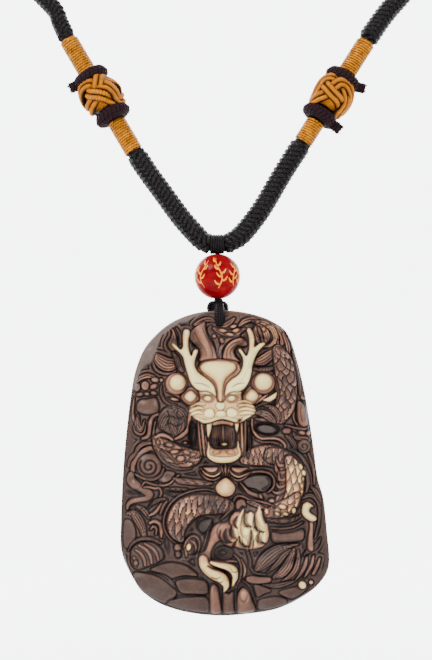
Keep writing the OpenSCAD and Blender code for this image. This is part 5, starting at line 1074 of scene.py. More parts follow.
def carvedFace():
    bm = bmesh.new()
    across, along = stone["across"], stone["along"]
    bmesh.ops.create_grid(bm, x_segments=across, y_segments=along, size=0.5)
    share = np.clip(np.array([vert.co[:2] for vert in bm.verts]) + 0.5, 0, 1)
    s, t = share[:, 0], share[:, 1]
    spots = facePoint(s, t)
    u, v = spots[:, 0], spots[:, 1]

    # rows of the grid, so that softening can look at neighbours
    order = np.lexsort((np.round(s * across), np.round(t * along)))
    back = np.argsort(order)
    rimNear = np.minimum(np.minimum(s, 1 - s) * stone["faceWide"], np.minimum(t, 1 - t) * stone["faceTall"])
    shape = rimNear[order].reshape(along + 1, across + 1)
    work = carve(u[order], v[order], shape)
    high = work.high.reshape(shape.shape)
    # Painted shade in the recesses: hollow darkens broad hollows, fine darkens small ones, and both go into the
    # hollow attribute
    hollow = np.clip((softened(high, 40) - high) * 0.9, 0, 1).ravel()[back]
    fine = np.clip((softened(high, 5) - high) * 5.0, -0.5, 1).ravel()[back]
    # Crests are painted lighter: wear on the high points together with a painted highlight
    crestWearAndHighlight = np.clip((high - softened(high, 24)) * 0.55, -0.1, 0.2).ravel()[back]
    high, tone, dark = high.ravel()[back], work.tone[back], work.dark[back]

    inside = np.clip(rimNear / 1.1, 0, 1)
    holeNear = np.clip((np.hypot(u, v - place["holeV"]) - stone["holeWide"]) / 1.2, 0, 1)
    edge = np.clip(1 - (rimNear / 1.5) ** 2, 0, 1) ** 2
    lift = stone["tall"] * high * inside * holeNear - stone["edgeDrop"] * edge
    faceY = place["frontY"] - stone["plate"] / 2
    rimBand = np.clip(1 - rimNear / 0.9, 0, 1)
    middle = stone["middleV"]
    paleSide = np.clip((u - 0.35 * (middle - v)) / 14, 0, 1)
    paleUp = np.clip(v - middle, -middle, middle) / middle * stone["paleUp"]
    tone = tone + (crestWearAndHighlight + 0.03) * np.clip(1.5 - 1.5 * tone, 0, 1) * (tone > -0.05) + paleUp
    # Near the rim the tone is lighter towards the right and darker at the left
    tone = tone + (0.34 * paleSide - 0.12) * rimBand ** 1.3
    dark = dark * np.clip(rimNear / 0.8, 0, 1)
    for vert, x, lean, z in zip(bm.verts, u, faceY - lift, v):
        vert.co = stretched(x, lean, z, stone["grown"])
    layers = {name: bm.verts.layers.float.new(name) for name in ("tone", "dark", "hollow")}
    for vert, *values in zip(bm.verts, tone, dark, np.clip(hollow * 0.5 + fine * 0.5, 0, 1)):
        for layer, value in zip(layers.values(), values):
            vert[layer] = value
    return bm, layers


# Wall, bevel and back behind the face's rim
def closeBack(bm, layers):
    rim = [one for one in bm.edges if one.is_boundary]
    backY = place["frontY"] + stone["plate"] / 2
    for lean, keep in ((backY - stone["backBevel"], 1.0), (backY, stone["backKeep"])):
        grown = bmesh.ops.extrude_edge_only(bm, edges=rim)["geom"]
        rim = [one for one in grown if isinstance(one, bmesh.types.BMEdge)]
        for vert in (one for one in grown if isinstance(one, bmesh.types.BMVert)):
            x, v = vert.co.x / mm, vert.co.z / mm + place["napeV"]
            vert.co = stretched(x, lean, v, keep, stone["middleU"])
            vert[layers["tone"]] = 0.06 + 0.4 * min(max((x - 4) / 16, 0), 1)
            vert[layers["dark"]] = 0.0
    bmesh.ops.edgeloop_fill(bm, edges=rim)
    bmesh.ops.recalc_face_normals(bm, faces=bm.faces)


# The stone with the bore for its hanging cord
def drilledStone(bm):
    drill = bmesh.new()
    radius = stone["holeWide"] / 2 * mm
    bmesh.ops.create_cone(drill, cap_ends=True, segments=40, radius1=radius, radius2=radius,
                          depth=stone["drillLong"] * mm)
    bmesh.ops.rotate(drill, verts=drill.verts, matrix=Matrix.Rotation(math.radians(90), 3, "X"))
    bmesh.ops.translate(drill, verts=drill.verts, vec=Vector(inFrame(0, place["holeV"] + stone["holeLift"])) * mm)
    meshes = []
    for name, one in (("stoneBlank", bm), ("stoneDrill", drill)):
        mesh = bpy.data.meshes.new(name)
        one.to_mesh(mesh)
        one.free()
        meshes.append(bpy.data.objects.new(name, mesh))
        bpy.context.scene.collection.objects.link(meshes[-1])
    bore = meshes[0].modifiers.new("bore", "BOOLEAN")
    bore.operation, bore.solver, bore.object = "DIFFERENCE", "EXACT", meshes[1]
    bpy.context.view_layer.update()
    done = meshes[0].evaluated_get(bpy.context.evaluated_depsgraph_get())
    drilled = bmesh.new()
    drilled.from_mesh(done.to_mesh())
    for one in meshes:
        bpy.data.meshes.remove(one.data)
    return drilled


def makeStone():
    bm, layers = carvedFace()
    closeBack(bm, layers)
    makePiece("stonePendant", drilledStone(bm), carvedStone(), "drop", ["stone_pendant"], merge=0)


def carvedStone():
    finish = Finish("carvedStone", **{"Specular IOR Level": 0.24, "Coat Weight": 0.06, "Coat Roughness": 0.2})
    tone, dark, hollow = (finish.attribute(name) for name in ("tone", "dark", "hollow"))
    cloud = finish.noise(160.0, 5.0, 0.6)
    grain = finish.noise(2300.0, 3.0, 0.6)
    fleck = finish.noise(5200.0, 2.0, 0.5)
    lowest, highest = stoneShades[0][0], stoneShades[-1][0]
    stops = [((at - lowest) / (highest - lowest), shade(*colour)) for at, colour in stoneShades]
    mottle = finish.noise(720.0, 4.0, 0.62)
    uneven = tone + (cloud - 0.5) * 0.16 + (mottle - 0.5) * 0.22 + (grain - 0.5) * 0.2
    level = (uneven - lowest) / (highest - lowest)
    skin = finish.node("ShaderNodeValToRGB", {"stops": stops}, {0: level})
    # dark and hollow darken the cuts and recesses: stain in the cuts together with painted shade, fading through a
    # warm brown fringe
    stainAndShade = (dark * 0.96 + hollow * 0.78).between(0.0, 1.03)
    stainedAndShaded = finish.tint(stainAndShade, skin, shade(25, 14, 14))
    warmEdge = (stainAndShade * (1.0 - stainAndShade) * 4.0).between(0.35, 1.0) * tone.between(0.3, 0.8) * 0.45
    warmed = finish.tint(warmEdge, stainedAndShaded, shade(104, 58, 40))
    sparks = fleck.between(0.68, 0.76) * 0.35 * (1.0 - stainAndShade)
    colour = finish.tint(sparks, warmed, shade(150, 132, 122))
    rough = 0.46 - 0.1 * tone.between(0.2, 1.0) + 0.25 * stainAndShade + (grain - 0.5) * 0.15
    return finish.dress(colour, rough, grain + 0.6 * fleck, depth=0.00006, strength=0.5)


# Cords: rings of points swept along a route
def unit(rows):
    return rows / np.maximum(np.linalg.norm(rows, axis=-1, keepdims=True), 1e-9)


def heading(path, closed=False):
    if closed:
        return unit(np.roll(path, -1, 0) - np.roll(path, 1, 0))
    return unit(np.gradient(path, axis=0))


def evenly(path, step, closed=False):
    if closed:
        path = np.vstack([path, path[:1]])
    run = np.concatenate([[0], np.cumsum(np.linalg.norm(np.diff(path[:, :3], axis=0), axis=1))])
    count = max(2, int(round(run[-1] / step)))
    at = np.linspace(0, run[-1], count + 1)
    made = np.stack([np.interp(at, run, path[:, k]) for k in range(path.shape[1])], 1)
    return (made[:-1], at[:-1]) if closed else (made, at)


# Two directions square to the path that don't twist along it
def carriedFrame(path, first=(0.0, -1.0, 0.0)):
    ahead = heading(path)
    side = np.array(first, float)
    rows = []
    for direction in ahead:
        side = side - direction * side.dot(direction)
        side /= max(np.linalg.norm(side), 1e-9)
        rows.append(side)
    rows = np.array(rows)
    return rows, np.cross(ahead, rows)


def sweep(bm, rings, closed=False):
    count, sides = rings.shape[:2]
    layer = bm.loops.layers.uv.get("run") or bm.loops.layers.uv.new("run")
    before = len(bm.faces)
    steps = count if closed else count - 1
    made = bmesh.ops.create_grid(bm, x_segments=sides, y_segments=steps, size=0.5, calc_uvs=True)["verts"]
    length = np.linalg.norm(np.diff(rings.mean(1), axis=0), axis=1).sum()
    bm.faces.ensure_lookup_table()
    for face in bm.faces[before:]:
        for loop in face.loops:
            loop[layer].uv.y *= length
    for vert in made:
        column = round((vert.co.x + 0.5) * sides) % sides
        row = round((vert.co.y + 0.5) * steps)
        vert.co = rings[row % count if closed else row, column] * mm
    bmesh.ops.remove_doubles(bm, verts=made, dist=joinWithin)
    if not closed:
        made = [vert for vert in made if vert.is_valid]
        ends = {edge for vert in made for edge in vert.link_edges if edge.is_boundary}
        bmesh.ops.holes_fill(bm, edges=list(ends), sides=sides + 1)


# A round or flattened strand along a path; outward says which way its flat side looks, and a closed one needs it
def strand(bm, path, wide, thick=None, outward=None, sides=6, closed=False, taper=None):
    ahead = heading(path, closed)
    if outward is None:
        outward, across = carriedFrame(path)
    else:
        across = unit(np.cross(ahead, outward))
        outward = np.cross(across, ahead)
    turn = np.linspace(0, 2 * math.pi, sides, endpoint=False)
    thick = wide if thick is None else thick
    size = np.ones(len(path)) if taper is None else np.asarray(taper)
    ring = (np.cos(turn)[None, :, None] * across[:, None, :] * wide / 2
            + np.sin(turn)[None, :, None] * outward[:, None, :] * thick / 2) * size[:, None, None]
    sweep(bm, path[:, None, :] + ring, closed)


# A plait: half the strands wind each way, over two and under two
def plait(bm, path, first, second, run, size, look, closed=False):
    for number in range(look["strands"]):
        way = 1 if number % 2 else -1
        start = 2 * math.pi * (number // 2) / (look["strands"] / 2) + (0.4 if way > 0 else 0.0)
        angle = start + way * 2 * math.pi * run / look["lead"]
        wave = np.tanh(1.5 * np.cos(look["strands"] / 4 * angle + 0.8)) / math.tanh(1.5)
        reach = (look["middle"] + look["swing"] * way * wave) * size
        outward = np.cos(angle)[:, None] * first + np.sin(angle)[:, None] * second
        line = path + outward * reach[:, None]
        strand(bm, line, look["wide"], look["thick"], outward, look["sides"], closed, size)


cordLook = {"drawn": 4.2, "strands": 12, "lead": 7.3, "middle": 1.62, "swing": 0.28, "wide": 1.2, "thick": 0.9,
            "sides": 6, "perTurn": 12, "core": 2.7}
# Route of the plaited cord, as in the part's source: hidden stretches x, y, z and the stretch that shows u, v, lean
route = {
    "hiddenLeft": [-0.2, 2.7, 0, -9, 2.7, 0, -18, 1.5, 0.5, -34, -4, 1, -47, -14, 0.5, -56.5, -27, -3, -62, -40, -11,
                   -65, -55, -25, -65, -69, -43, -63, -82, -64, -59.5, -93, -85, -55, -102, -103, -49.5, -109, -118,
                   -44.5, -113.5, -127.5],
    "seenLeft": [-38.6, 139.3, 9.2, -37.4, 136.4, 8.4],
    "legLeft": [-35.3, 132.1, 7.2, -19.7, 105.5, 3],
    "seenLeftLow": [-16.2, 100.2, 2.2, -13.5, 96.5, 1.6, -11, 93, 1.1, -8.6, 89.8, 0.6, -5.6, 86.4, 0.2],
    "seenMiddle": [-4.1, 84.85, 0, -3.3, 84.4, 0, -2.6, 84.2, 0, -2.15, 84.1, 0, 0.95, 84.1, 0, 1.4, 84.2, 0,
                   2.1, 84.4, 0, 2.9, 84.85, 0],
    "seenRightLow": [5, 86.3, 0.2, 8.4, 90.5, 0.6, 10.7, 94, 1.1, 13, 98, 1.6, 15.4, 102, 2.2],
    "legRight": [19, 107.6, 3, 34.1, 131.6, 7.2],
    "seenRight": [36.9, 135.8, 8.4, 39.15, 138.9, 9.2],
    "hiddenRight": [44.5, -113.5, -128.5, 50, -109, -118.5, 55.5, -102, -103, 60, -93, -85, 63, -82, -64,
                    65, -69, -43, 65, -55, -25, 62, -40, -11, 56.5, -27, -3, 47, -14, 0.5, 34, -4, 1, 18, 1.5, 0.5,
                    9, 2.7, 0, 0.2, 2.7, 0],
}
cordSizes = {"plain": 4.55, "slim": 3.95, "bound": 3.4, "turning": 4.3, "pinched": 3.05}


def legEnds(name):
    ends = np.reshape(route[name], (-1, 3))
    ends = np.array([inFrame(*row) for row in ends])
    return ends if ends[0][2] < ends[1][2] else ends[::-1]


def boundStretch(name, upwards, above):
    low, high = legEnds(name)
    along = unit(high - low)
    length = np.linalg.norm(high - low)
    rows = [(-0.8, "plain"), (-0.2, "bound"), (length / 2, "bound"), (length + 0.2, "bound"), (length + 0.8, above)]
    rows = [[*(low + along * at), cordSizes[size]] for at, size in rows]
    return rows if upwards else rows[::-1]


def cordRoute():
    def shown(name, sizes=None):
        rows = np.reshape(route[name], (-1, 3))
        sizes = sizes or ["plain"] * len(rows)
        return [[*inFrame(*row), cordSizes[size]] for row, size in zip(rows, sizes)]

    def hidden(name):
        return [[*row, cordSizes["plain"]] for row in np.reshape(route[name], (-1, 3))]

    left = hidden("hiddenLeft") + shown("seenLeft", ["slim"] * 2) + boundStretch("legLeft", False, "slim")
    middle = shown("seenMiddle", ["turning"] * 3 + ["pinched"] * 2 + ["turning"] * 3)
    right = boundStretch("legRight", True, "plain") + shown("seenRight") + hidden("hiddenRight")
    return smooth(left + shown("seenLeftLow") + middle + shown("seenRightLow") + right, 12)


def makeBraid():
    path, run = evenly(cordRoute(), cordLook["lead"] / cordLook["perTurn"])
    centre, size = path[:, :3], path[:, 3] / cordLook["drawn"]
    first, second = carriedFrame(centre, (0.0, 0.0, 1.0))
    bm = bmesh.new()
    plait(bm, centre, first, second, run, size, cordLook)
    strand(bm, centre, cordLook["core"], sides=8, taper=size)
    print("plaited cord", round(run[-1]), "mm")
    makePiece("plaitedCord", bm, plaitedCord(), "necklace", ["braid"], merge=0)


# Patterns of a twisted thread along a swept strand: its lay, its hair, and a sine round the strand, highest on the
# outward face, which the finishes use for painted highlight there and painted shade on the flanks
def twistedThread(finish, coarse, fine, tilt=2.2):
    split, run = finish.alongPiece()
    lay = (run * fine + split * tilt * 2 * math.pi).sine()
    hair = (run * coarse - split * tilt * 4 * math.pi).sine()
    return lay, hair, (split * 2 * math.pi).sine()


def plaitedCord():
    finish = Finish("plaitedCord", **{"Specular IOR Level": 0.16})
    lay, hair, top = twistedThread(finish, 9.0, 15.0)
    patchy = finish.noise(420.0, 3.0)
    fuzz = finish.noise(3800.0, 2.0)
    # top lightens each strand's outward face and darkens its flanks: painted highlight and painted shade between the
    # strands
    level = lay * 0.28 + hair * 0.12 + top * 0.55 + (patchy - 0.5) * 0.8 + (fuzz - 0.5) * 1.2 + 0.1
    colour = finish.tint(level.between(0.0, 1.0), shade(2, 1, 2), shade(29, 23, 26))
    return finish.dress(colour, 0.42 + (fuzz - 0.5) * 0.3, lay + 0.6 * hair + 0.8 * fuzz, depth=0.00008, strength=0.9)


# Fittings stand on a leg's own straight line
class LegPlace:
    def __init__(self, name):
        low, high = legEnds(name)
        self.low, self.length = low, float(np.linalg.norm(high - low))
        self.axis = unit(high - low)
        tilt = math.acos(self.axis[2])
        swing = math.atan2(self.axis[1], self.axis[0])
        self.x = np.array([math.cos(tilt) * math.cos(swing), math.cos(tilt) * math.sin(swing), -math.sin(tilt)])
        self.y = np.cross(self.axis, self.x)

    def at(self, rows, along=0.0):
        rows = np.asarray(rows, float)
        return (self.low + self.axis * along + rows[..., :1] * self.x + rows[..., 1:2] * self.y
                + rows[..., 2:3] * self.axis)


# Course of each knot's doubled cord, three times round: turn in degrees, height, and over (1) or under (-1)
knotLeft = [
    (-37, 2, -1), (0, -0.15, 1), (40, -2.5, -1), (75, -3.3, 0), (112, -2.6, 1), (150, -0.9, -1), (190, 0.8, 1),
    (230, 0.4, -1), (262, -1, 0.6), (285, -1.65, 0.6), (312, -1.5, 0.9), (337, -0.85, 0), (360, 0, -1),
    (373, 0.9, -0.6),
    (385, 2.1, 1), (397, 3.2, 0.8), (412, 3.7, 0), (440, 2.7, -1), (470, 0.4, 1), (505, -2.2, -1), (545, -3.3, 0),
    (585, -2.7, 1), (615, -1.2, -1), (640, 0.5, 1), (656, 2.2, 1), (682, 3.4, 0.8), (712, 3.3, 0.4), (732, 2.4, -1),
    (752, 1.5, 0), (766, 0.3, 1), (776, -1.3, 1), (785, -2.8, 0.2), (805, -3.4, 0), (838, -2.6, -1), (872, -0.3, 1),
    (910, 2, -1), (950, 3.3, 0), (990, 3.2, 0.5), (1020, 2.9, -1),
]
knotRight = [
    (-68, 1.4, -0.8), (-42, 0.5, 1), (-15, -0.3, 1), (12, -0.7, 0.9), (38, -1.2, -1), (62, -1.9, -1), (95, -2.7, 0),
    (130, -2.2, 1), (165, -0.2, -1), (200, 1.2, 1), (232, -0.8, -1), (260, -2.8, 0), (280, -1.9, 0), (289, 0.1, 0.8),
    (291, 2, 1), (310, 3.3, 0.8), (338, 3.3, -1), (366, 2.7, -0.4), (389, 1.5, 0.4), (402, -0.3, 1), (409, -2.4, 0.6),
    (422, -3.3, 0), (455, -3, -1), (490, -0.6, 1), (525, 2, -1), (560, 2.8, 1), (590, 0.6, -1), (618, -2.2, 0),
    (645, -3.2, 0), (676, -1.9, 0.6), (689, -0.2, -1), (696, 1.4, 0), (706, 2.9, 1), (724, 3.5, 0.8), (748, 3.3, 0.7),
    (769, 2.2, 0.9), (785, 0.3, 1), (790, -2.1, 0.6), (803, -3.2, 0), (832, -3, 1), (865, -1.2, -1), (900, 1.6, 1),
    (938, 3.2, -1), (975, 3.1, 0.6), (996, 2.4, -0.6),
]


fittings = {
    "left": {"leg": "legLeft", "lowerSleeve": 8.6, "lowerCollar": 10.15, "knot": 15.3, "upperCollar": 20.45,
             "upperSleeve": 21.9, "lowerTail": None, "upperTail": (15, -5, 1.3), "course": knotLeft},
    "right": {"leg": "legRight", "lowerSleeve": 6.1, "lowerCollar": 7.65, "knot": 12.8, "upperCollar": 17.95,
              "upperSleeve": 19.4, "lowerTail": (340, 10, 1.7), "upperTail": (350, -20, 1.5), "course": knotRight},
}
sleeve = {"wide": 4.55, "thread": 0.66, "pitch": 0.6, "perTurn": 24, "sides": 6}


def makeSleeve(name, leg, start, end, material, node):
    thread = sleeve["thread"]
    reach = sleeve["wide"] / 2 - thread / 2
    turns = (end - start - thread) / sleeve["pitch"]
    angle = np.linspace(0, 2 * math.pi * turns, int(turns * sleeve["perTurn"]))
    rise = start + thread / 2 + np.linspace(0, end - start - thread, len(angle))
    wobble = 0.02 * np.sin(angle * 0.37 + start)
    local = np.stack([(reach + wobble) * np.cos(angle), (reach + wobble) * np.sin(angle), rise], 1)
    outward = np.stack([np.cos(angle), np.sin(angle), 0 * angle], 1)
    bm = bmesh.new()
    strand(bm, leg.at(local), thread, thread * 0.86, leg.at(outward) - leg.low, sleeve["sides"])
    inner = np.stack([np.zeros(8), np.zeros(8), np.linspace(start + 0.15, end - 0.15, 8)], 1)
    strand(bm, leg.at(inner), 2 * reach - 0.1, sides=24)
    makePiece(name, bm, material, "necklace", [node], merge=0)


def silkThread():
    finish = Finish("silkThread", **{"Specular IOR Level": 0.12, "Metallic": 0.35})
    lay, hair, top = twistedThread(finish, 10.0, 7.0, 1.0)
    patchy = finish.noise(900.0, 3.0)
    # top paints each turn of thread bright on its outward face and darker at its sides: a painted sheen and painted
    # shade
    level = (top * 0.9 + hair * 0.1 + (patchy - 0.5) * 1.5 - 0.2).between(0.0, 1.0)
    colour = finish.tint(level, shade(50, 22, 3), shade(222, 136, 8))
    return finish.dress(colour, 0.34 + (patchy - 0.5) * 0.2, lay + 0.5 * hair, depth=0.00006, strength=0.9)


def goldCord():
    finish = Finish("goldCord", **{"Specular IOR Level": 0.1, "Metallic": 0.12})
    lay, hair, top = twistedThread(finish, 26.0, 18.0, 1.0)
    patchy = finish.noise(700.0, 3.0)
    # top lightens each cord's outward face and darkens its flanks: painted highlight and painted shade
    level = (top * 1.25 + lay * 0.16 + hair * 0.12 + (patchy - 0.5) * 0.7 - 0.45).between(0.0, 1.0)
    colour = finish.tint(level, shade(28, 11, 4), shade(206, 122, 14))
    return finish.dress(colour, 0.5, lay + 0.7 * hair, depth=0.00003, strength=0.8)


def plumCord():
    finish = Finish("plumCord", **{"Specular IOR Level": 0.1})
    lay, hair, top = twistedThread(finish, 12.0, 14.0, 2.0)
    fuzz = finish.noise(3200.0, 2.0)
    # top lightens each strand's outward face a little and darkens its flanks: painted highlight and painted shade
    level = (lay * 0.25 + hair * 0.2 + top * 0.2 + (fuzz - 0.5) * 1.2 + 0.4).between(0.0, 1.0)
    colour = finish.tint(level, shade(8, 3, 5), shade(44, 23, 30))
    return finish.dress(colour, 0.7, lay + 0.6 * hair + fuzz, depth=0.00007, strength=0.9)


def blackThread():
    finish = Finish("blackThread", **{"Specular IOR Level": 0.12})
    lay, hair, _ = twistedThread(finish, 14.0, 11.0, 1.0)
    fuzz = finish.noise(3600.0, 2.0)
    level = (lay * 0.25 + hair * 0.15 + (fuzz - 0.5) * 0.8 + 0.4).between(0.0, 1.0)
    colour = finish.tint(level, shade(3, 2, 3), shade(31, 24, 28))
    return finish.dress(colour, 0.5, lay + 0.5 * hair + 0.5 * fuzz, depth=0.00006, strength=0.8)


collar = {"wide": 8.8, "cord": 3.1, "core": 2.0, "turns": 6, "perTurn": 12,
          "look": {"strands": 8, "lead": 3.1, "middle": 1.0, "swing": 0.22, "wide": 1.05, "thick": 0.7, "sides": 6}}
tailEnd = {"size": 0.85, "core": 1.6, "fibres": 9, "fibre": 0.42}


def makeCollar(name, leg, along, tail, material, node):
    middle = (collar["wide"] - collar["cord"]) / 2
    count = collar["turns"] * collar["perTurn"]
    angle = np.linspace(0, 2 * math.pi, count, endpoint=False)
    radial = np.stack([np.cos(angle), np.sin(angle), 0 * angle], 1)
    axial = np.tile([0.0, 0.0, 1.0], (count, 1))
    path = leg.at(radial * middle, along)
    first, second = leg.at(radial) - leg.low, leg.at(axial) - leg.low
    run = np.arange(count) / collar["perTurn"] * collar["look"]["lead"]
    bm = bmesh.new()
    plait(bm, path, first, second, run, np.ones(count), collar["look"], closed=True)
    strand(bm, path, collar["core"], outward=first, sides=8, closed=True)
    if tail:
        cutEnd(bm, leg, along, middle, *tail)
    makePiece(name, bm, material, "necklace", [node], merge=0)


# The collar cord's short cut end with its frayed fibres
def cutEnd(bm, leg, along, middle, turn, tilt, length):
    turn, tilt = math.radians(turn), math.radians(tilt)
    way = np.array([math.cos(turn) * math.cos(tilt), math.sin(turn) * math.cos(tilt), -math.sin(tilt)])
    start = np.array([math.cos(turn), math.sin(turn), 0]) * middle
    reach = collar["cord"] / 2 + length
    spots = start + way * np.linspace(0.3, reach - 0.5, 14)[:, None]
    spots, walked = evenly(leg.at(spots, along), 0.3)
    first, second = carriedFrame(spots)
    plait(bm, spots, first, second, walked, np.full(len(spots), tailEnd["size"]), collar["look"])
    strand(bm, spots, tailEnd["core"], sides=8)
    ahead = heading(spots)[-1]
    share = np.linspace(0, 1, 6)[:, None]
    for number in range(tailEnd["fibres"]):
        spread = 2 * math.pi * number / tailEnd["fibres"] + 0.5 * math.sin(number * 2.7)
        off = (math.cos(spread) * first[-1] + math.sin(spread) * second[-1]) * (0.3 + 0.45 * (number % 3) / 2)
        long = 0.7 + 0.3 * math.sin(number * 1.9)
        fibre = spots[-1] - ahead * 0.3 + off + share * (ahead * long + off * 0.9 * share)
        strand(bm, fibre, tailEnd["fibre"], sides=5, taper=np.linspace(1, 0.35, 6))


knot = {"wide": 10.0, "cord": 1.4, "wave": 0.5, "barrel": 0.05, "core": 7.8, "coreLong": 6.0, "coreBarrel": 0.028}


def makeKnot(name, leg, along, course, material, node):
    rows = np.array([course[-1], *course, *course[:2]], float)
    wholeCourse = 3 * 360
    rows[0, 0] -= wholeCourse
    rows[-2:, 0] += wholeCourse
    rows = smooth(rows, 10)[10:-11]
    angle = np.radians(rows[:, 0]) - math.copysign(math.pi / 2, leg.y[1])
    high = rows[:, 1]
    lowest = knot["wide"] / 2 - knot["cord"] / 2 - knot["wave"]
    bulge = lowest + knot["wave"] * rows[:, 2] - knot["barrel"] * high ** 2
    line = leg.at(np.stack([bulge * np.cos(angle), bulge * np.sin(angle), high], 1), along)
    outward = leg.at(np.stack([np.cos(angle), np.sin(angle), 0.1 * high], 1)) - leg.low
    across = unit(np.cross(heading(line, True), outward))
    bm = bmesh.new()
    for side in (-0.5, 0.5):
        strand(bm, line + across * knot["cord"] * side, knot["cord"], outward=unit(outward), sides=10, closed=True)
    core = np.stack([np.zeros(12), np.zeros(12), np.linspace(-knot["coreLong"] / 2, knot["coreLong"] / 2, 12)], 1)
    strand(bm, leg.at(core, along), knot["core"], sides=24, taper=1 - knot["coreBarrel"] * core[:, 2] ** 2)
    makePiece(name, bm, material, "necklace", [node], merge=0)


def makeFittings():
    silk, gold, plum = silkThread(), goldCord(), plumCord()
    for side, fit in fittings.items():
        leg = LegPlace(fit["leg"])
        name = side.capitalize()
        makeSleeve(f"sleeve{name}Lower", leg, 0.0, fit["lowerSleeve"], silk, f"wrap_{side}_lower")
        makeSleeve(f"sleeve{name}Upper", leg, fit["upperSleeve"], leg.length, silk, f"wrap_{side}_upper")
        for end in ("lower", "upper"):
            makeCollar(f"collar{name}{end.capitalize()}", leg, fit[end + "Collar"], fit[end + "Tail"], plum,
                       f"collar_{side}_{end}")
        makeKnot(f"knot{name}", leg, fit["knot"], fit["course"], gold, f"knot_{side}")


whipping = {"long": 16.0, "reach": 2.7, "middle": 2.7, "thread": 0.8, "perTurn": 24, "inner": 15.2}


def makeWhipping():
    thread = whipping["thread"]
    turns = (whipping["long"] - thread) / (thread * 0.94)
    angle = np.linspace(0, 2 * math.pi * turns, int(turns * whipping["perTurn"]))
    x = np.linspace(-whipping["long"] / 2 + thread / 2, whipping["long"] / 2 - thread / 2, len(angle))
    reach = whipping["reach"] - thread / 2
    path = np.stack([x, whipping["middle"] + reach * np.cos(angle), reach * np.sin(angle)], 1)
    outward = np.stack([0 * angle, np.cos(angle), np.sin(angle)], 1)
    bm = bmesh.new()
    strand(bm, path, thread, thread * 0.9, outward, 6)
    innerAlong = np.linspace(-0.5, 0.5, 12) * whipping["inner"]
    inner = np.stack([innerAlong, np.full(12, whipping["middle"]), np.zeros(12)], 1)
    strand(bm, inner, 2 * reach - 0.1, sides=24)
    makePiece("napeWhipping", bm, blackThread(), "necklace", ["back_join"], merge=0)


# Small pieces that hang on the hinge: wrap turns, bead on its cord, and the loop through the stone
hanger = {"thread": 0.58, "pitch": 0.57, "turns": 7, "perTurn": 26, "reach": 2.0, "closer": 0.93}
beadCord = {"lowV": 71.9, "highV": 81.9, "wide": 1.46, "lead": 2.4}


def makeHangerWrap():
    between = hanger["turns"] - 1
    angle = np.linspace(0, 2 * math.pi * between, between * hanger["perTurn"])
    x = np.linspace(-hanger["pitch"] * between / 2, hanger["pitch"] * between / 2, len(angle))
    reach = hanger["reach"] + 0.03 * np.sin(angle * 0.31) - 0.03 * x ** 2
    centre = np.array(inFrame(place["dropU"], place["hingeV"]))
    radial = np.stack([0 * angle, np.cos(angle), np.sin(angle)], 1)
    bm = bmesh.new()
    slant = x * hanger["closer"] + 0.18 * np.sin(angle)
    path = centre + radial * reach[:, None] + np.stack([slant, 0 * x, 0 * x], 1)
    strand(bm, path, hanger["thread"], outward=radial, sides=8)
    makePiece("hangerWrap", bm, blackThread(), "drop", ["hanger_wrap"], merge=0)


def twoPly(bm, path, wide, lead):
    path, run = evenly(path, lead / 12)
    first, second = carriedFrame(path)
    for start in (0.0, math.pi):
        angle = start + 2 * math.pi * run / lead
        off = np.cos(angle)[:, None] * first + np.sin(angle)[:, None] * second
        strand(bm, path + off * wide * 0.24, wide * 0.52, sides=8)


def makeBeadCord():
    bm = bmesh.new()
    low, high = (inFrame(place["dropU"], beadCord[end]) for end in ("lowV", "highV"))
    twoPly(bm, np.linspace(low, high, 30), beadCord["wide"], beadCord["lead"])
    makePiece("beadCord", bm, blackThread(), "drop", ["bead_cord"], merge=0)


loop = {"cord": 0.72, "inside": 2.8, "lowV": 66.88, "highV": 68.95, "corner": 0.3, "knotU": -0.5, "knotV": 70.1}


def loopOutline(grow, steps=7):
    low, high, half = loop["lowV"] - grow, loop["highV"] + grow, loop["inside"] + grow
    r = loop["corner"] + grow
    rows = []
    for y, v, start in ((half - r, low + r, -90), (half - r, high - r, 0), (r - half, high - r, 90),
                        (r - half, low + r, 180)):
        turn = np.radians(np.linspace(start, start + 90, steps))
        rows.append(np.stack([y + r * np.cos(turn), v + r * np.sin(turn)], 1))
    return np.vstack(rows)


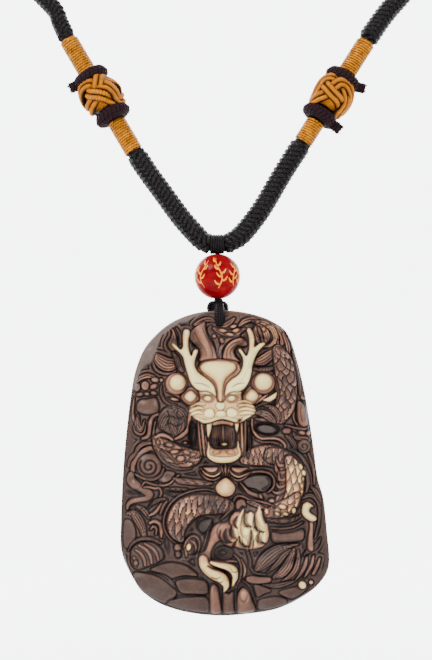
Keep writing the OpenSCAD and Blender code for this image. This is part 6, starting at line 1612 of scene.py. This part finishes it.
# The loop's turns through the hole in two layers, and the rounded knot that closes them
def makeStoneLoop():
    bm = bmesh.new()
    for grow, places in ((0.5, (-0.84, -0.28, 0.28, 0.84)), (1.22, (-0.55, 0, 0.55))):
        outline = loopOutline(grow)
        for number, u in enumerate(places):
            sag = 0.06 * math.sin(number * 2.0)
            path, _ = evenly(np.array([inFrame(u - 0.05, v - sag, y) for y, v in outline]), 0.3, closed=True)
            sideways = np.tile([1.0, 0.0, 0.0], (len(path), 1))
            strand(bm, path, loop["cord"], 0.84, np.cross(heading(path, True), sideways), 8, closed=True)

    centre = np.array(inFrame(loop["knotU"], loop["knotV"]))
    turn = np.linspace(0, 2 * math.pi, 48, endpoint=False)
    for side in (-1, 1):
        for number, lean in enumerate((-0.95, -0.32, 0.32, 0.95)):
            wide, tall = 0.84 - 0.1 * abs(lean), 1.08 - 0.16 * abs(lean)
            x = side * (1.3 + wide * np.cos(turn)) + 0.12 * lean
            z = tall * np.sin(turn) - 0.36 - 0.2 * np.cos(turn)
            ring = np.stack([x, 1.15 * lean + 0.14 * np.sin(2 * turn + number), z], 1)
            outward = unit(ring - (side * 1.3, 1.15 * lean, -0.36))
            strand(bm, centre + ring, 0.74, outward=outward, sides=8, closed=True)
    for high, reach, deep in ((-0.3, 1.16, 1.5), (0.36, 1.02, 1.42), (0.98, 0.78, 1.06), (1.5, 0.5, 0.66)):
        z = high + 0.26 * np.cos(turn) * (1 if high > 0 else -1)
        ring = np.stack([reach * np.cos(turn), deep * np.sin(turn), z], 1)
        strand(bm, centre + ring, 0.78, outward=unit(ring * (1, 1, 0.2)), sides=8, closed=True)
    for ends, wide in ((((-1.9, 0, -0.4), (1.9, 0, -0.4)), 2.1), (((0, 0, -1.1), (0, 0, 1.7)), 1.5)):
        strand(bm, centre + np.linspace(*ends, 8), wide, sides=14)
    makePiece("stoneLoop", bm, blackThread(), "drop", ["stone_loop"], merge=0)


bead = {"wide": 10.4, "bore": 1.9, "softRim": 0.35, "rings": 40, "sides": 72}


def makeBead():
    reach, bore = bead["wide"] / 2, bead["bore"] / 2
    rim = bead["softRim"]
    top = math.sqrt((reach - rim) ** 2 - (bore + rim) ** 2)
    profile = []
    limit = math.atan2(top, bore + rim)
    for angle in np.linspace(-limit, limit, bead["rings"]):
        profile.append((reach * math.cos(angle), reach * math.sin(angle)))
    for angle in np.linspace(limit, math.pi, 9)[1:]:
        profile.append((bore + rim + rim * math.cos(angle), top + rim * math.sin(angle)))
    for angle in np.linspace(math.pi, 2 * math.pi - limit, 9)[:-1]:
        profile.append((bore + rim + rim * math.cos(angle), -top + rim * math.sin(angle)))
    bm = bmesh.new()
    centre = Vector(inFrame(place["dropU"], place["beadV"])) * mm
    verts = [bm.verts.new(centre + Vector((r, 0, z)) * mm) for r, z in profile]
    edges = [bm.edges.new((verts[k], verts[(k + 1) % len(verts)])) for k in range(len(verts))]
    bmesh.ops.spin(bm, geom=verts + edges, cent=centre, axis=(0, 0, 1), angle=2 * math.pi, steps=bead["sides"],
                   use_merge=True)
    makePiece("bead", bm, redAgate(), "drop", ["bead"])


def redAgate():
    finish = Finish("redAgate", **{"Specular IOR Level": 0.04, "Subsurface Weight": 0.3, "Subsurface Scale": 0.003,
                                   "Subsurface Radius": (1.0, 0.18, 0.08)})
    cloud = finish.noise(210.0, 4.0, 0.6)
    veins = finish.noise(430.0, 3.0, 0.6, finish.objectPoint(1.0, 1.0, 2.6))
    level = (cloud * 0.8 + (veins - 0.5) * 0.7).between(0.2, 0.85)
    deep = finish.tint(level, shade(104, 6, 16), shade(168, 19, 26))
    return finish.dress(deep, 0.2 + (cloud - 0.5) * 0.1, cloud, depth=0.00003, strength=0.3)


# Gold sprigs drawn round the bead: turn, foot, tip, bend of the stem and pairs of leaves
sprigs = [(-40, -2.6, 3.6, -8, 3), (3, -2.8, 4.1, 9, 4), (50, -2.2, 2.8, -6, 3)]
sprig = {"stem": 0.36, "leaf": 0.46, "reach": 15, "rise": 1.0, "raised": 0.16}


def makeScroll():
    bm = bmesh.new()
    reach = bead["wide"] / 2
    centre = np.array(inFrame(place["dropU"], place["beadV"]))

    def stroke(points, wide):
        rows = smooth(points, 7)
        turn = np.radians(rows[:, 0] - 90)
        flat = np.sqrt(reach ** 2 - rows[:, 1] ** 2)
        outward = np.stack([flat * np.cos(turn), flat * np.sin(turn), rows[:, 1]], 1) / reach
        taper = 0.35 + 0.65 * np.sin(math.pi * np.linspace(0, 1, len(rows)) ** 0.8)
        strand(bm, centre + outward * (reach - 0.01), wide, sprig["raised"], outward, 6, taper=taper)

    for spin in (0, 120, 240):
        for turn, low, high, bend, pairs in sprigs:
            share = np.linspace(0, 1, 2 * pairs + 1)
            stem = np.stack([spin + turn + bend * np.sin(math.pi * 1.5 * share), low + (high - low) * share], 1)
            stroke(stem, sprig["stem"])
            for number, (at, height) in enumerate(stem[1:-1]):
                side = 1 if number % 2 else -1
                wide = sprig["reach"] * (1.1 - 0.45 * share[number + 1]) * side
                leaf = [(at + wide * x, height + sprig["rise"] * z) for x, z in ((0, 0), (0.6, 0.2), (1, 1))]
                stroke(leaf, sprig["leaf"])
    makePiece("beadScroll", bm, goldInlay(), "drop")


def goldInlay():
    # Gold inlay that glows a little: painted light that keeps it bright orange
    finish = Finish("goldInlay", **{"Metallic": 0.1, "Specular IOR Level": 0.06, "Emission Strength": 0.7})
    patchy = finish.noise(2600.0, 3.0)
    colour = finish.tint(patchy.between(0.3, 0.7), shade(236, 120, 6), shade(255, 170, 26))
    finish.feed(finish.shader.inputs["Emission Color"], finish.tint(0.8, colour, shade(120, 40, 8)))
    return finish.dress(colour, 0.28 + (patchy - 0.5) * 0.3, patchy, depth=0.00003, strength=0.6)


# Stage: pale sweep, soft lights and the camera
stage = {"floorZ": -0.95, "wallY": 3.2, "wide": 12.0, "front": -6.0, "top": 6.0, "bend": 1.5, "glow": 5.0,
         "worldLight": 0.55, "worldTint": (0.97, 0.985, 1.0, 1.0), "aimZ": -0.2}
lights = [
    ("upperLeft", (-0.8, -0.85, 0.85), 0.6, 30.0, (1.0, 0.985, 0.965)),
    ("upperRight", (0.95, -0.75, 0.35), 0.5, 12.0, (0.97, 0.985, 1.0)),
    ("low", (-0.35, -0.9, -0.85), 0.6, 5.0, (1.0, 0.99, 0.98)),
]


# The wall glows as a lit paper sweep does, and the floor before it fades to plain pale
def paleSweep():
    finish = Finish("paleSweep", **{"Roughness": 0.9, "Specular IOR Level": 0.1, "Emission Strength": stage["glow"]})
    split = finish.node("ShaderNodeSeparateXYZ", {}, {0: finish.objectPoint()})
    depth = Wire(finish, split.socket.node.outputs[1])
    mottle = finish.noise(1.5, 2.0)
    colour = finish.tint(mottle, (0.84, 0.85, 0.86, 1.0), (0.88, 0.89, 0.90, 1.0))
    glow = finish.tint(depth.between(0.9, 2.6), (0.0, 0.0, 0.0, 1.0), (0.97, 1.0, 0.985, 1.0))
    finish.feed(finish.shader.inputs["Emission Color"], glow)
    return finish.dress(colour)


def makeStage():
    bm = bmesh.new()
    bend, wall, floor = stage["bend"], stage["wallY"], stage["floorZ"]
    rows = [(stage["front"], floor)]
    for turn in np.linspace(0, math.pi / 2, 14):
        rows.append((wall - bend + bend * math.sin(turn), floor + bend - bend * math.cos(turn)))
    rows.append((wall, stage["top"]))
    made = bmesh.ops.create_grid(bm, x_segments=1, y_segments=len(rows) - 1, size=0.5)["verts"]
    for vert in made:
        y, z = rows[round((vert.co.y + 0.5) * (len(rows) - 1))]
        vert.co = (vert.co.x * stage["wide"], y, z)
    makePiece("sweep", bm, paleSweep(), None)
    world = bpy.data.worlds.new("paleWorld")
    world.use_nodes = True
    bpy.context.scene.world = world
    background = world.node_tree.nodes["Background"]
    background.inputs["Color"].default_value = stage["worldTint"]
    background.inputs["Strength"].default_value = stage["worldLight"]
    target = Vector((0, place["frontY"] * mm, stage["aimZ"]))
    for name, where, size, power, tint in lights:
        lamp = bpy.data.lights.new(name, "AREA")
        lamp.shape = "DISK"
        lamp.size, lamp.energy, lamp.color = size, power, tint
        one = bpy.data.objects.new(name, lamp)
        one.location = where
        one.rotation_euler = (target - Vector(where)).to_track_quat("-Z", "Y").to_euler()
        bpy.context.scene.collection.objects.link(one)


def makeCamera():
    lens = bpy.data.cameras.new("camera")
    lens.lens, lens.sensor_width, lens.sensor_height = view["lens"], view["sensor"], view["sensor"]
    lens.sensor_fit = "VERTICAL"
    lens.clip_start, lens.clip_end = view["near"], view["far"]
    camera = bpy.data.objects.new("camera", lens)
    x, y, z = inFrame(view["aimU"], view["aimV"], -stone["plate"] / 2)
    camera.location = (x * mm, y * mm - view["distance"], z * mm)
    camera.rotation_euler = (math.radians(90), 0.0, 0.0)
    bpy.context.scene.collection.objects.link(camera)
    bpy.context.scene.camera = camera


for make in (makeStone, makeHangerWrap, makeBeadCord, makeStoneLoop, makeBead, makeScroll, makeBraid, makeFittings,
             makeWhipping, makeStage, makeCamera):
    make()
print("stage and camera")
